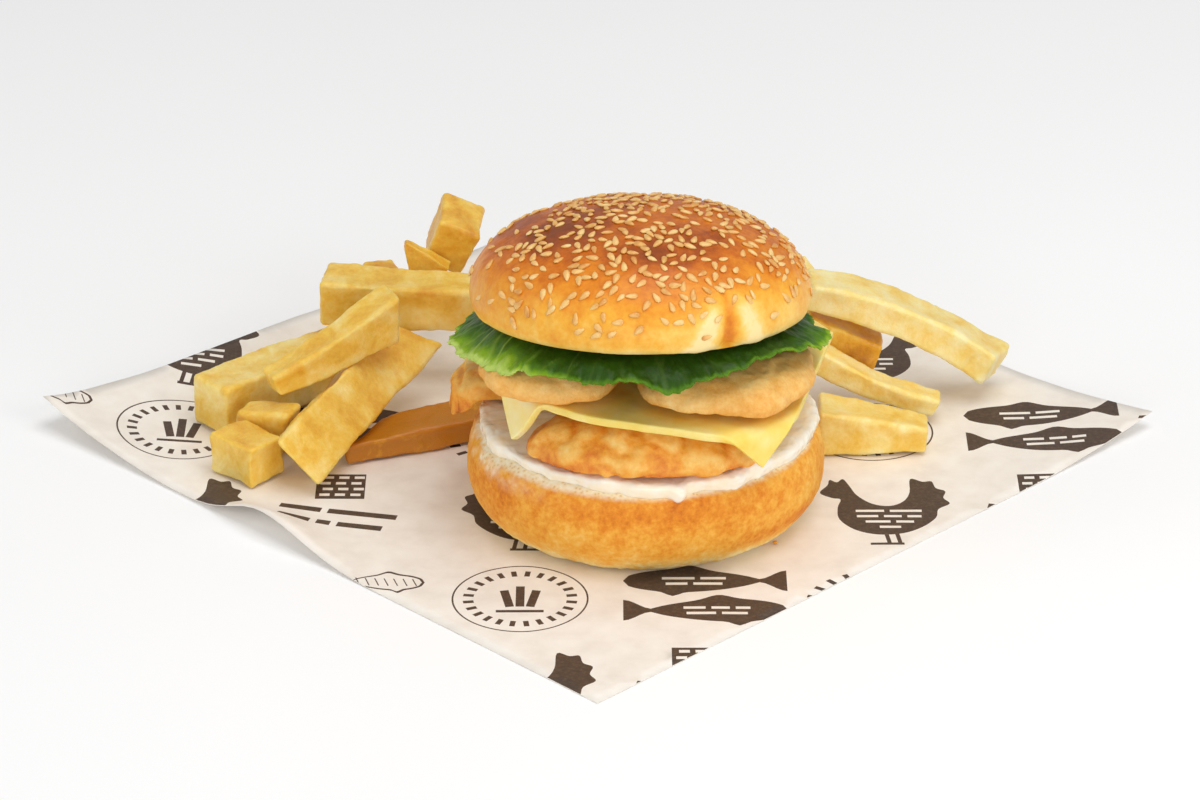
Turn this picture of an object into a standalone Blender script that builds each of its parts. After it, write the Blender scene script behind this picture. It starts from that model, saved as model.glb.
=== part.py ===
"""Chicken burger and thick-cut chips on an open printed greaseproof sheet.

Origin: middle of the sheet, on its underside. +Z up, the front is -Y.
A corner of the sheet points to the front, so its diagonals lie on X and Y.
"""
import math

import bmesh
import bpy
from mathutils import Matrix, Vector

MM = 0.001

# ---- driving sizes, in millimetres -------------------------------------------
SHEET_SIDE = 228.0
SHEET_THICK = 0.4
SHEET_CELLS = 16
CORNER_LIFT_LEFT = 9.8
CORNER_LIFT_RIGHT = 5.0
RIDGE_HEIGHT = 7.6
BACK_EDGE_LIFT = 3.0

FOOD_LIFT = SHEET_THICK        # food heights below are measured from the sheet's top

BURGER_X, BURGER_Y = 13.3, -48.0
HEEL_HEIGHT = 26.5
HEEL_RADIUS = 50.0
HEEL_WIDEST_Z = 14.6
HEEL_FOOT_RADIUS = 36.0
HEEL_CUT_RADIUS = 46.5

MAYO_RADIUS = 43.0
MAYO_THICK = 2.7

CHEESE_SIDE = 85.0
CHEESE_THICK = 2.4
CHEESE_TURN_DEG = -13.0
CHEESE_X, CHEESE_Y, CHEESE_Z = 18.2, -50.1, 47.3
CHEESE_SLOPE = 1.7             # the slice falls this much from its middle to its right
CHEESE_BACK_FALL = 0.9         # and this much along its back edge
CHEESE_BEND = 3.5              # radius of the bend where a corner hangs
CHEESE_CELLS = 16
# by corner: how far from the middle its bend starts, and how steeply it hangs
CHEESE_CORNERS = {(-1, -1): (43.0, 75), (1, -1): (46.5, 86), (1, 1): (50.0, 45),
                  (-1, 1): (50.0, 40)}

CROWN_X, CROWN_Y, CROWN_Z = 11.7, -50.0, 62.0
CROWN_RADIUS = 47.0
CROWN_CUT_RADIUS = 44.0
CROWN_WIDEST_Z = 4.5
CROWN_HEIGHT = 29.2
CROWN_TILT_DEG = -9.0

CHIP_EDGE_ROUND = 1.9
CHIP_STATIONS = 5

# thick-cut chips: end centres, width and height at each end, roll about the
# length, how far each end is cut aslant, and how much the middle bows upward
CHIPS = {
    "chip_left_under_bun": dict(
        a=(-67.5, -17.2, 3.6), b=(-12, 6, 5.2), size_a=(13, 6.2), size_b=(16, 9.4),
        skew_a=-17),
    "chip_left_far_end": dict(
        a=(-112.5, -4.5, 8.6), b=(-76, 29, 8.5), size_a=(16, 16), size_b=(14, 15), bow=0.6),
    "chip_left_front_stub": dict(
        a=(-104.5, -35, 6.7), b=(-95, -25, 6.7), size_a=(17, 12.5), size_b=(16, 12)),
    "chip_left_wedge": dict(
        a=(-102.5, -14, 11.5), b=(-88.5, -19.5, 8.0), size_a=(8, 4.5), size_b=(9, 15.4)),
    "chip_left_leaning": dict(
        a=(-85, -37.5, 7.9), b=(-54.5, 17, 19.8), size_a=(17, 10), size_b=(15, 9), roll=-45,
        skew_b=10, under_a=-11, bow=0.8),
    "chip_left_diagonal": dict(
        a=(-94, -14, 21), b=(-59.5, 2, 36), size_a=(9, 7), size_b=(12, 13), under_b=6,
        bow=-1.0),
    "chip_left_long_top": dict(
        a=(-81, 36, 25.8), b=(-20, 29, 25.5), size_a=(16, 14), size_b=(14, 13), bow=-0.5),
    "chip_left_behind": dict(
        a=(-69, 51, 22.6), b=(-60, 54.3, 22.6), size_a=(9, 9), size_b=(9, 9)),
    "chip_left_sliver": dict(
        a=(-57, 47, 37.5), b=(-49.5, 47, 26), size_a=(3, 1.2), size_b=(6, 14), edge=0.5),
    "chip_left_upright": dict(
        a=(-46.5, 60, 27.3), b=(-40.5, 58.5, 41.3), size_a=(17.5, 12), size_b=(18.5, 13),
        roll=-12),
    "chip_right_top": dict(
        a=(60, 16, 37), b=(117.3, 21.6, 9.2), size_a=(15, 8.5), size_b=(16, 10), skew_b=-8,
        bow=4),
    "chip_right_tip_behind": dict(
        a=(40, 50, 10), b=(61.5, 33, 36), size_a=(9, 9), size_b=(6, 7)),
    "chip_right_shaded": dict(
        a=(60, 17, 25), b=(82, 17, 15.7), size_a=(11, 10), size_b=(11, 9)),
    "chip_right_curved": dict(
        a=(61, 6, 21.5), b=(99, 5, 4.8), size_a=(9, 8), size_b=(8, 5.5), bow=-2.2),
    "chip_right_front": dict(
        a=(63, -13, 7.6), b=(95, -14, 4.7), size_a=(15, 14), size_b=(11, 8)),
}

# battered fillet pieces: centre of the widest level, half sizes, height above and below
# it, how square the plan is (1 is an ellipse), turn about Z, roll about Y, how much the
# top rises to the front, how far the left end hangs and swings forward, and where the
# slow lumps start
FILLETS = {
    "chicken_lower_front": dict(
        centre=(14, -75.5, 32.4), half=(34.0, 20.0), up=11.4, down=2.2, plan=1.0,
        turn=0, roll=0, rise=0.0, hang=0.0, swing=0.0, lump=0.4),
    "chicken_lower_back": dict(
        centre=(7, -32.5, 33.2), half=(50.5, 18.5), up=10.2, down=2.9, plan=0.72,
        turn=-3, roll=0, rise=0.0, hang=8.0, swing=5.0, lump=1.7),
    "chicken_upper_left": dict(
        centre=(-11.5, -59.3, 52.0), half=(20.6, 28.0), up=7.0, down=2.6, plan=0.66,
        turn=-12, roll=1.5, rise=0.5, hang=0.0, swing=0.0, lump=2.6),
    "chicken_upper_right": dict(
        centre=(34.4, -61.8, 50.4), half=(25.0, 31.5), up=7.0, down=2.6, plan=0.8,
        turn=-3, roll=2.5, rise=0.5, hang=0.0, swing=0.0, lump=4.1),
}

COLOURS = {
    "greaseproof_paper": ((0.88, 0.84, 0.78), 0.75),
    "bun_crust": ((0.72, 0.34, 0.09), 0.42),
    "mayonnaise": ((0.93, 0.91, 0.84), 0.25),
    "battered_chicken": ((0.78, 0.42, 0.14), 0.6),
    "cheese": ((0.95, 0.75, 0.24), 0.35),
    "lettuce_leaf": ((0.10, 0.32, 0.04), 0.4),
    "fried_potato": ((0.85, 0.56, 0.15), 0.55),
}


# ---- helpers -----------------------------------------------------------------
def clear_scene():
    for ob in list(bpy.data.objects):
        bpy.data.objects.remove(ob, do_unlink=True)
    for me in list(bpy.data.meshes):
        bpy.data.meshes.remove(me)
    for mat in list(bpy.data.materials):
        bpy.data.materials.remove(mat)


def home():
    col = bpy.data.collections.new("chicken_burger_and_chips_in_paper")
    bpy.context.scene.collection.children.link(col)
    return col


def material(name):
    mat = bpy.data.materials.get(name)
    if mat is None:
        (r, g, b), rough = COLOURS[name]
        mat = bpy.data.materials.new(name)
        mat.use_nodes = True
        mat.diffuse_color = (r, g, b, 1.0)
        shader = mat.node_tree.nodes["Principled BSDF"]
        shader.inputs["Base Color"].default_value = (r, g, b, 1.0)
        shader.inputs["Roughness"].default_value = rough
        shader.inputs["Metallic"].default_value = 0.0
    return mat


def keep(name, mesh, mat, col):
    mesh.name = name
    ob = bpy.data.objects.new(name, mesh)
    col.objects.link(ob)
    mesh.materials.clear()
    mesh.materials.append(material(mat))
    for poly in mesh.polygons:
        poly.use_smooth = True
    return ob


def settled_mesh(ob):
    """The evaluated mesh of ob, freed of its modifiers."""
    deps = bpy.context.evaluated_depsgraph_get()
    deps.update()
    mesh = bpy.data.meshes.new_from_object(ob.evaluated_get(deps))
    bpy.data.objects.remove(ob, do_unlink=True)
    return mesh


def facing_out(mesh):
    bm = bmesh.new()
    bm.from_mesh(mesh)
    bmesh.ops.recalc_face_normals(bm, faces=bm.faces)
    bm.to_mesh(mesh)
    bm.free()
    return mesh


def reshape(mesh, func):
    """Move each vertex, given and returned in millimetres."""
    for v in mesh.vertices:
        v.co = Vector(func(*(v.co / MM))) * MM
    return mesh


def lathe(name, profile, steps):
    """A closed turned solid from (radius, height) pairs, top of the axis to its foot."""
    mesh = bpy.data.meshes.new(name)
    points = [(r * MM, 0.0, z * MM) for r, z in profile]
    mesh.from_pydata(points, [(i, i + 1) for i in range(len(points) - 1)], [])
    ob = bpy.data.objects.new(name, mesh)
    bpy.context.scene.collection.objects.link(ob)
    screw = ob.modifiers.new("turn", "SCREW")
    screw.angle = 2 * math.pi
    screw.steps = steps
    screw.render_steps = steps
    screw.use_merge_vertices = True
    screw.merge_threshold = 0.00001
    screw.use_normal_calculate = True
    return facing_out(settled_mesh(ob))


def clamp01(t):
    return max(0.0, min(1.0, t))


def ease(t):
    t = clamp01(t)
    return t * t * (3 - 2 * t)


# ---- the sheet ---------------------------------------------------------------
HALF_DIAGONAL = SHEET_SIDE / math.sqrt(2)


def sheet_height(x, y):
    """Underside of the laid sheet above the table, in millimetres."""
    curl_left = clamp01((-x - 104.0) / (HALF_DIAGONAL - 104.0))
    curl_right = clamp01((x - 120.0) / (HALF_DIAGONAL - 120.0))
    z = CORNER_LIFT_LEFT * curl_left ** 2.4 + CORNER_LIFT_RIGHT * curl_right ** 2
    # one ridge that runs in from the front-left edge and dies away
    inward = (HALF_DIAGONAL + x + y) / math.sqrt(2)
    along = (y - x - HALF_DIAGONAL) / (2 * HALF_DIAGONAL) + 1.0
    along = clamp01(along)
    spread = 0.10 if along < 0.585 else 0.075
    ridge = math.exp(-((along - 0.585) / spread) ** 2 - (inward / 9.0) ** 2)
    z += RIDGE_HEIGHT * ridge
    # the back-left edge stands a little off the table
    inward = (HALF_DIAGONAL + x - y) / math.sqrt(2)
    along = clamp01((x + y + HALF_DIAGONAL) / (2 * HALF_DIAGONAL))
    gentle = math.exp(-((along - 0.3) / 0.22) ** 2 - (inward / 11.0) ** 2)
    z += BACK_EDGE_LIFT * gentle * ease(along / 0.12)
    return z if z > 0.02 else 0.0


def make_sheet(col):
    bpy.ops.mesh.primitive_grid_add(
        x_subdivisions=SHEET_CELLS, y_subdivisions=SHEET_CELLS, size=SHEET_SIDE * MM,
        rotation=(0, 0, math.radians(45)))
    ob = bpy.context.active_object
    mesh = ob.data.copy()
    mesh.transform(Matrix.Rotation(math.radians(45), 4, "Z"))
    bpy.data.objects.remove(ob, do_unlink=True)
    reshape(mesh, lambda x, y, z: (x, y, sheet_height(x, y)))
    flat = bpy.data.objects.new("sheet_flat", mesh)
    bpy.context.scene.collection.objects.link(flat)
    solid = flat.modifiers.new("thickness", "SOLIDIFY")
    solid.thickness = SHEET_THICK * MM
    solid.offset = 1.0
    solid.use_even_offset = True
    keep("paper", facing_out(settled_mesh(flat)), "greaseproof_paper", col)


# ---- the bun -----------------------------------------------------------------
def heel_profile():
    """Cut face, rounded cut edge, widest belt, then the pale foot curving under."""
    points = [(0.0, HEEL_HEIGHT), (HEEL_CUT_RADIUS - 3.0, HEEL_HEIGHT)]
    for k in range(1, 5):
        t = k / 4
        z = HEEL_HEIGHT - 1.2 - (HEEL_HEIGHT - 1.2 - HEEL_WIDEST_Z) * t
        bulge = math.sqrt(max(0.0, 1 - (1 - t) ** 2))
        points.append((HEEL_CUT_RADIUS + (HEEL_RADIUS - HEEL_CUT_RADIUS) * bulge, z))
    for k in range(1, 6):
        t = k / 5
        angle = t * math.pi / 2
        r = HEEL_FOOT_RADIUS + (HEEL_RADIUS - HEEL_FOOT_RADIUS) * math.cos(angle) ** 0.9
        points.append((r, 0.3 + (HEEL_WIDEST_Z - 0.3) * (1 - math.sin(angle))))
    points.append((0.0, 0.3))
    return points


def make_heel(col):
    mesh = lathe("bun_heel", heel_profile(), 40)

    def uneven(x, y, z):
        turn = math.atan2(y, x)
        grow = 1 + 0.006 * math.sin(2 * turn + 0.7) + 0.005 * math.sin(3 * turn + 2.0)
        return x * grow + BURGER_X, y * grow + BURGER_Y, z + FOOD_LIFT

    keep("bun_heel", reshape(mesh, uneven), "bun_crust", col)


def crown_profile():
    """Dome from its top down to the widest belt, then in to the cut rim."""
    points = [(0.0, CROWN_HEIGHT)]
    for k in range(1, 9):
        angle = k / 8 * math.pi / 2
        r = CROWN_RADIUS * math.sin(angle) ** 0.98
        z = CROWN_WIDEST_Z + (CROWN_HEIGHT - CROWN_WIDEST_Z) * math.cos(angle) ** 0.92
        points.append((r, z))
    points.append((CROWN_RADIUS - 0.7, CROWN_WIDEST_Z * 0.4))
    points.append((CROWN_CUT_RADIUS, 0.0))
    points.append((0.0, 0.0))
    return points


def crown_place():
    return (Matrix.Translation((CROWN_X, CROWN_Y, CROWN_Z + FOOD_LIFT))
            @ Matrix.Rotation(math.radians(CROWN_TILT_DEG), 4, "X"))


def make_crown(col):
    mesh = lathe("bun_crown", crown_profile(), 40)
    place = crown_place()

    def uneven(x, y, z):
        turn = math.atan2(y, x)
        grow = 1 + 0.008 * math.sin(2 * turn + 1.9) + 0.005 * math.sin(3 * turn)
        # the crease in the front right of the crust
        away = abs(math.atan2(math.sin(turn + 1.06), math.cos(turn + 1.06)))
        low = ease(1 - z / 20.0)
        grow -= 0.022 * math.exp(-(away / 0.07) ** 2) * low
        return place @ Vector((x * grow, y * grow, z))

    keep("bun_crown", reshape(mesh, uneven), "bun_crust", col)


# ---- the filling -------------------------------------------------------------
def make_mayonnaise(col):
    top = HEEL_HEIGHT + 0.3 + MAYO_THICK
    profile = [(0.0, top), (MAYO_RADIUS - 2.0, top), (MAYO_RADIUS - 0.4, top - 0.6),
               (MAYO_RADIUS, top - 1.4), (MAYO_RADIUS - 0.3, HEEL_HEIGHT + 0.5),
               (MAYO_RADIUS - 1.0, HEEL_HEIGHT + 0.3), (0.0, HEEL_HEIGHT + 0.3)]
    mesh = lathe("mayonnaise", profile, 48)

    def uneven(x, y, z):
        turn = math.atan2(y, x)
        grow = (1 + 0.022 * math.sin(5 * turn + 1.0) + 0.018 * math.sin(9 * turn + 0.4)
                + 0.012 * math.sin(14 * turn))
        return x * grow + BURGER_X, y * grow + BURGER_Y, z + FOOD_LIFT

    keep("mayonnaise", reshape(mesh, uneven), "mayonnaise", col)


def rounded(t, power):
    return math.copysign(abs(t) ** power, t)


def make_fillet(name, spec, col):
    bpy.ops.mesh.primitive_uv_sphere_add(segments=20, ring_count=10, radius=MM)
    ob = bpy.context.active_object
    mesh = ob.data.copy()
    bpy.data.objects.remove(ob, do_unlink=True)
    hx, hy = spec["half"]
    turn = Matrix.Rotation(math.radians(spec["turn"]), 3, "Z")
    roll = Matrix.Rotation(math.radians(spec["roll"]), 3, "Y")
    start = spec["lump"]
    middle = Vector(spec["centre"]) + Vector((0, 0, FOOD_LIFT))

    def slab(x, y, z):
        flat = Vector((rounded(x, spec["plan"]), rounded(y, spec["plan"]), 0.0))
        lump = (1 + 0.03 * math.sin(5.1 * x + start * 3.0) * math.cos(4.3 * y + start)
                - 0.02 * (1 + math.sin(7.0 * x + 3.0 * y + start)))
        if z > 0:
            height = spec["up"] * z ** 0.9 * (1 - spec["rise"] * flat.y)
        else:
            height = -spec["down"] * abs(z) ** 0.5
        p = Vector((hx * flat.x * lump, hy * flat.y * lump, height))
        p.y -= spec["swing"] * ease((-26.0 - p.x) / 16.0)
        p.z -= spec["hang"] * ease((-38.0 - p.x) / 12.0) * (1.0 if z < 0 else 0.2)
        return turn @ roll @ p + middle

    keep(name, facing_out(reshape(mesh, slab)), "battered_chicken", col)


def bend_down(out, steep):
    """Reach in plan and drop of a slice that runs that far past where it bends."""
    angle = min(out / CHEESE_BEND, math.radians(steep))
    rest = out - angle * CHEESE_BEND
    reach = CHEESE_BEND * math.sin(angle) + rest * math.cos(angle)
    return reach, CHEESE_BEND * (1 - math.cos(angle)) + rest * math.sin(angle)


def drape(u, v):
    """Place of the slice's top for -1..1 along its front and side edges."""
    half = CHEESE_SIDE / 2
    x, y = half * u, half * v
    z = CHEESE_Z - CHEESE_SLOPE * u - CHEESE_BACK_FALL * ease(2 * v - 1)
    # the front edge is drawn in a little left of its middle
    y += 4.0 * math.exp(-((x + 25.0) / 9.0) ** 2) * clamp01(-v) ** 4
    for (a, b), (start, steep) in CHEESE_CORNERS.items():
        out = (a * x + b * y) / math.sqrt(2) - start
        if out > 0:
            reach, drop = bend_down(out, steep)
            x -= a * (out - reach) / math.sqrt(2)
            y -= b * (out - reach) / math.sqrt(2)
            z -= drop
    angle = math.radians(CHEESE_TURN_DEG)
    return (CHEESE_X + x * math.cos(angle) - y * math.sin(angle),
            CHEESE_Y + x * math.sin(angle) + y * math.cos(angle), z)


def make_cheese(col):
    bpy.ops.mesh.primitive_grid_add(
        x_subdivisions=CHEESE_CELLS, y_subdivisions=CHEESE_CELLS, size=2 * MM)
    ob = bpy.context.active_object
    mesh = ob.data.copy()
    bpy.data.objects.remove(ob, do_unlink=True)

    def laid(u, v, _z):
        x, y, z = drape(u, v)
        return x, y, z + FOOD_LIFT

    reshape(mesh, laid)
    sheet = bpy.data.objects.new("cheese_flat", mesh)
    bpy.context.scene.collection.objects.link(sheet)
    solid = sheet.modifiers.new("thickness", "SOLIDIFY")
    solid.thickness = CHEESE_THICK * MM
    solid.offset = -1.0
    solid.use_even_offset = True
    keep("cheese_slice", facing_out(settled_mesh(sheet)), "cheese", col)


def lettuce_edge(turn):
    """Reach and droop of the leaf's edge by direction, 0 along +X."""
    front = clamp01(-math.sin(turn))
    left = clamp01(-math.cos(turn))
    reach = 48.5 + 3.0 * left * left + 1.5 * math.sin(5 * turn + 0.8) - 1.5 * front
    droop = 3.5 + 4.0 * front + 1.5 * left
    return reach, droop


def make_lettuce(col):
    rings, spokes = 6, 44
    mesh = bpy.data.meshes.new("lettuce")
    points = [(0.0, 0.0)]
    faces = [(0, 1 + s, 1 + (s + 1) % spokes) for s in range(spokes)]
    for ring in range(rings):
        share = (ring + 1) / rings
        share = share ** 0.62
        for s in range(spokes):
            turn = 2 * math.pi * s / spokes
            reach, _droop = lettuce_edge(turn)
            points.append((share * reach * math.cos(turn), share * reach * math.sin(turn)))
    for ring in range(rings - 1):
        for s in range(spokes):
            a = 1 + ring * spokes + s
            b = 1 + ring * spokes + (s + 1) % spokes
            faces.append((a, a + spokes, b + spokes, b))
    mesh.from_pydata([(x * MM, y * MM, 0.0) for x, y in points], [], faces)
    tilt = math.tan(math.radians(CROWN_TILT_DEG))

    def leaf(x, y, _z):
        turn = math.atan2(y, x)
        r = math.hypot(x, y)
        reach, droop = lettuce_edge(turn)
        out = clamp01((r - 35.0) / (reach - 35.0))
        z = CROWN_Z - 0.9 + tilt * y - droop * out ** 1.3
        z += 1.3 * out * (math.sin(7 * turn + 0.5) - 1) * 0.6
        return x + CROWN_X, y + CROWN_Y, z + FOOD_LIFT

    reshape(mesh, leaf)
    sheet = bpy.data.objects.new("leaf_flat", facing_out(mesh))
    bpy.context.scene.collection.objects.link(sheet)
    solid = sheet.modifiers.new("thickness", "SOLIDIFY")
    solid.thickness = 1.1 * MM
    solid.offset = -1.0
    keep("lettuce", facing_out(settled_mesh(sheet)), "lettuce_leaf", col)


# ---- the chips ---------------------------------------------------------------
def make_chip(name, spec, col):
    lift = Vector((0, 0, FOOD_LIFT))
    a, b = Vector(spec["a"]) + lift, Vector(spec["b"]) + lift
    along = (b - a).normalized()
    up0 = (Vector((0, 0, 1)) - along * along.z).normalized()
    side0 = along.cross(up0)
    roll = math.radians(spec.get("roll", 0))
    side = math.cos(roll) * side0 + math.sin(roll) * up0
    up = math.cos(roll) * up0 - math.sin(roll) * side0
    bow = spec.get("bow", 0.0)
    (wa, ha), (wb, hb) = spec["size_a"], spec["size_b"]
    verts, faces = [], []
    for k in range(CHIP_STATIONS + 1):
        t = k / CHIP_STATIONS
        middle = a.lerp(b, t) + Vector((0, 0, bow * 4 * t * (1 - t)))
        w, h = wa + (wb - wa) * t, ha + (hb - ha) * t
        skew = spec.get("skew_a", 0) if k == 0 else spec.get("skew_b", 0)
        under = spec.get("under_a", 0) if k == 0 else spec.get("under_b", 0)
        ends = 0 if 0 < k < CHIP_STATIONS else 1
        for i, j in ((-1, -1), (1, -1), (1, 1), (-1, 1)):
            shift = along * ends * (i * skew + j * under) / 2
            verts.append((middle + side * i * w / 2 + up * j * h / 2 + shift) * MM)
    for k in range(CHIP_STATIONS):
        for j in range(4):
            p, q = 4 * k + j, 4 * k + (j + 1) % 4
            faces.append((p, q, q + 4, p + 4))
    last = 4 * CHIP_STATIONS
    faces.append((0, 3, 2, 1))
    faces.append((last, last + 1, last + 2, last + 3))
    mesh = bpy.data.meshes.new(name)
    mesh.from_pydata(verts, [], faces)
    block = bpy.data.objects.new(name + "_block", facing_out(mesh))
    bpy.context.scene.collection.objects.link(block)
    bevel = block.modifiers.new("edges", "BEVEL")
    bevel.width = spec.get("edge", CHIP_EDGE_ROUND) * MM
    bevel.segments = 2
    bevel.limit_method = "ANGLE"
    bevel.angle_limit = math.radians(35)
    keep(name, facing_out(settled_mesh(block)), "fried_potato", col)


# ---- build -------------------------------------------------------------------
def main():
    clear_scene()
    col = home()
    make_sheet(col)
    make_heel(col)
    make_mayonnaise(col)
    for name, spec in FILLETS.items():
        make_fillet(name, spec, col)
    make_cheese(col)
    make_lettuce(col)
    make_crown(col)
    for name, spec in CHIPS.items():
        make_chip(name, spec, col)


main()
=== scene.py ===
"""Looks of a chicken burger and thick-cut chips on an open printed greaseproof sheet.

Lengths are in millimetres, in the frame of the solids: the origin is under the middle of
the sheet, +Z is up and the front is -Y. They become metres where a mesh is made.
"""
import math

import bmesh
import bpy
from mathutils import Matrix, Vector, noise
from mathutils.geometry import delaunay_2d_cdt


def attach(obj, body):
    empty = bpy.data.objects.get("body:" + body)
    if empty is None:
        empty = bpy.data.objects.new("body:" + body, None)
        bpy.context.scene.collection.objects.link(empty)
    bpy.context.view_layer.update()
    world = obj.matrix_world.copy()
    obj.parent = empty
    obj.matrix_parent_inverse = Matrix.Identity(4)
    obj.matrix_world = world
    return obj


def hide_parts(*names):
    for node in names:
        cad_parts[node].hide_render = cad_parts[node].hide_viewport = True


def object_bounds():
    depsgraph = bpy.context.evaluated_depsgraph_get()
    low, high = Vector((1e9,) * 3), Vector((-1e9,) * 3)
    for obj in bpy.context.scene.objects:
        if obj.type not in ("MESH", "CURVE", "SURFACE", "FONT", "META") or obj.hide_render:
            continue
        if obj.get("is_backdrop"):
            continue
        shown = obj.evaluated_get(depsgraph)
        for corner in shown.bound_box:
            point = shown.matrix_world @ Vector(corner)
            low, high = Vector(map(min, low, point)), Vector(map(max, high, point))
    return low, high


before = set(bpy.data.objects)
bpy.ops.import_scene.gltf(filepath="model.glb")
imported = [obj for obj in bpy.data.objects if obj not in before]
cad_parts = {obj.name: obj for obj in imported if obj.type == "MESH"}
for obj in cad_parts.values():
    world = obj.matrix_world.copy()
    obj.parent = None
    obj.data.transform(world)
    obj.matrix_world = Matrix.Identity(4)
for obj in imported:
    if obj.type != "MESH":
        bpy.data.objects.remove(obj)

CAD_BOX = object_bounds()
BODY = "root"
MM = 0.001
NOISE_SEED = 1                 # left unset, noise_vector changes with the clock
noise.seed_set(NOISE_SEED)

# ---- sizes shared with the solids ---------------------------------------------
SHEET_SIDE = 228.0
SHEET_CELLS = 57               # grid squares along one side
SHEET_TOP = 0.4                # the food stands on the sheet's top face
PAPER_THICK = 0.2
HALF_DIAGONAL = SHEET_SIDE / math.sqrt(2)
CORNER_LIFT_LEFT = 9.8
CORNER_LIFT_RIGHT = 5.0
RIDGE_HEIGHT = 7.6
BACK_EDGE_LIFT = 3.0

BURGER_X, BURGER_Y = 13.3, -48.0
HEEL_HEIGHT = 26.5
HEEL_RADIUS = 50.0
HEEL_WIDEST_Z = 14.6
HEEL_FOOT_RADIUS = 36.0
HEEL_CUT_RADIUS = 46.5
HEEL_FLAT_RADIUS = 43.5

CROWN_X, CROWN_Y, CROWN_Z = 11.7, -50.0, 62.0
CROWN_RADIUS = 47.0
CROWN_CUT_RADIUS = 44.0
CROWN_WIDEST_Z = 4.5
CROWN_HEIGHT = 29.2
CROWN_TILT_DEG = -9.0
CREASE_TURN = math.radians(-59)

CHEESE_SIDE = 85.0
CHEESE_THICK = 2.4
CHEESE_TURN_DEG = -13.0
CHEESE_X, CHEESE_Y, CHEESE_Z = 18.2, -50.1, 47.3
CHEESE_SLOPE = 1.7             # the slice falls this much from its middle to its right
CHEESE_BACK_FALL = 0.9         # and this much along its back edge
CHEESE_BEND = 3.5              # radius of the bend where a corner hangs
# by corner: how far from the middle its bend starts, and how steeply it hangs
CHEESE_CORNERS = {(-1, -1): (43.0, 75), (1, -1): (46.5, 86), (1, 1): (50.0, 45),
                  (-1, 1): (50.0, 40)}

LEAF_THICK = 0.7
LEAF_MEAN_REACH = 49
LEAF_FLAT_RADIUS = 37.0        # the leaf lies flat this far from its middle

# thick-cut chips: end centres, width and height at each end, roll about the length in
# degrees, how far each end is cut aslant across (skew) and downward (under), how much the
# middle bows upward, the rounding of the edges, and how deeply fried, made darker with
# painted shade on chips that lie in shade
CHIPS = {
    # painted shade: its fry is set darkest, partly for the shade under the bun
    "chip_left_under_bun": dict(
        a=(-67.5, -17.2, 3.6), b=(-12, 6, 5.2), size_a=(13, 6.2), size_b=(16, 9.4),
        skew_a=-17, fry_and_shade=0.95),
    "chip_left_far_end": dict(
        a=(-112.5, -4.5, 8.6), b=(-76, 29, 8.5), size_a=(16, 16), size_b=(14, 15), bow=0.6,
        fry_and_shade=0.3),
    "chip_left_front_stub": dict(
        a=(-104.5, -35, 6.7), b=(-95, -25, 6.7), size_a=(17, 12.5), size_b=(16, 12),
        fry_and_shade=0.4),
    "chip_left_wedge": dict(
        a=(-102.5, -14, 11.5), b=(-88.5, -19.5, 8.0), size_a=(8, 4.5), size_b=(9, 15.4),
        fry_and_shade=0.4),
    "chip_left_leaning": dict(
        a=(-85, -37.5, 7.9), b=(-54.5, 17, 19.8), size_a=(17, 10), size_b=(15, 9), roll=-45,
        skew_b=10, under_a=-11, bow=0.8, fry_and_shade=0.4),
    "chip_left_diagonal": dict(
        a=(-94, -14, 21), b=(-59.5, 2, 36), size_a=(9, 7), size_b=(12, 13), under_b=6,
        bow=-1.0, fry_and_shade=0.3),
    "chip_left_long_top": dict(
        a=(-81, 36, 25.8), b=(-20, 29, 25.5), size_a=(16, 14), size_b=(14, 13), bow=-0.5,
        fry_and_shade=0.35),
    "chip_left_behind": dict(
        a=(-69, 51, 22.6), b=(-60, 54.3, 22.6), size_a=(9, 9), size_b=(9, 9), fry_and_shade=0.5),
    "chip_left_sliver": dict(
        a=(-57, 47, 37.5), b=(-49.5, 47, 26), size_a=(3, 1.2), size_b=(6, 14), edge=0.5,
        fry_and_shade=0.5),
    "chip_left_upright": dict(
        a=(-46.5, 60, 27.3), b=(-40.5, 58.5, 41.3), size_a=(17.5, 12), size_b=(18.5, 13),
        roll=-12, fry_and_shade=0.5),
    "chip_right_top": dict(
        a=(60, 16, 37), b=(117.3, 21.6, 9.2), size_a=(15, 8.5), size_b=(16, 10), skew_b=-8,
        bow=4, fry_and_shade=0.15),
    "chip_right_tip_behind": dict(
        a=(40, 50, 10), b=(61.5, 33, 36), size_a=(9, 9), size_b=(6, 7), fry_and_shade=0.2),
    # painted shade: fried darker than its neighbours for the shade under the top right chip
    "chip_right_shaded": dict(
        a=(60, 17, 25), b=(82, 17, 15.7), size_a=(11, 10), size_b=(11, 9), fry_and_shade=0.55),
    "chip_right_curved": dict(
        a=(61, 6, 21.5), b=(99, 5, 4.8), size_a=(9, 8), size_b=(8, 5.5), bow=-2.2,
        fry_and_shade=0.15),
    "chip_right_front": dict(
        a=(63, -13, 7.6), b=(95, -14, 4.7), size_a=(15, 14), size_b=(11, 8), fry_and_shade=0.25),
}

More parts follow.
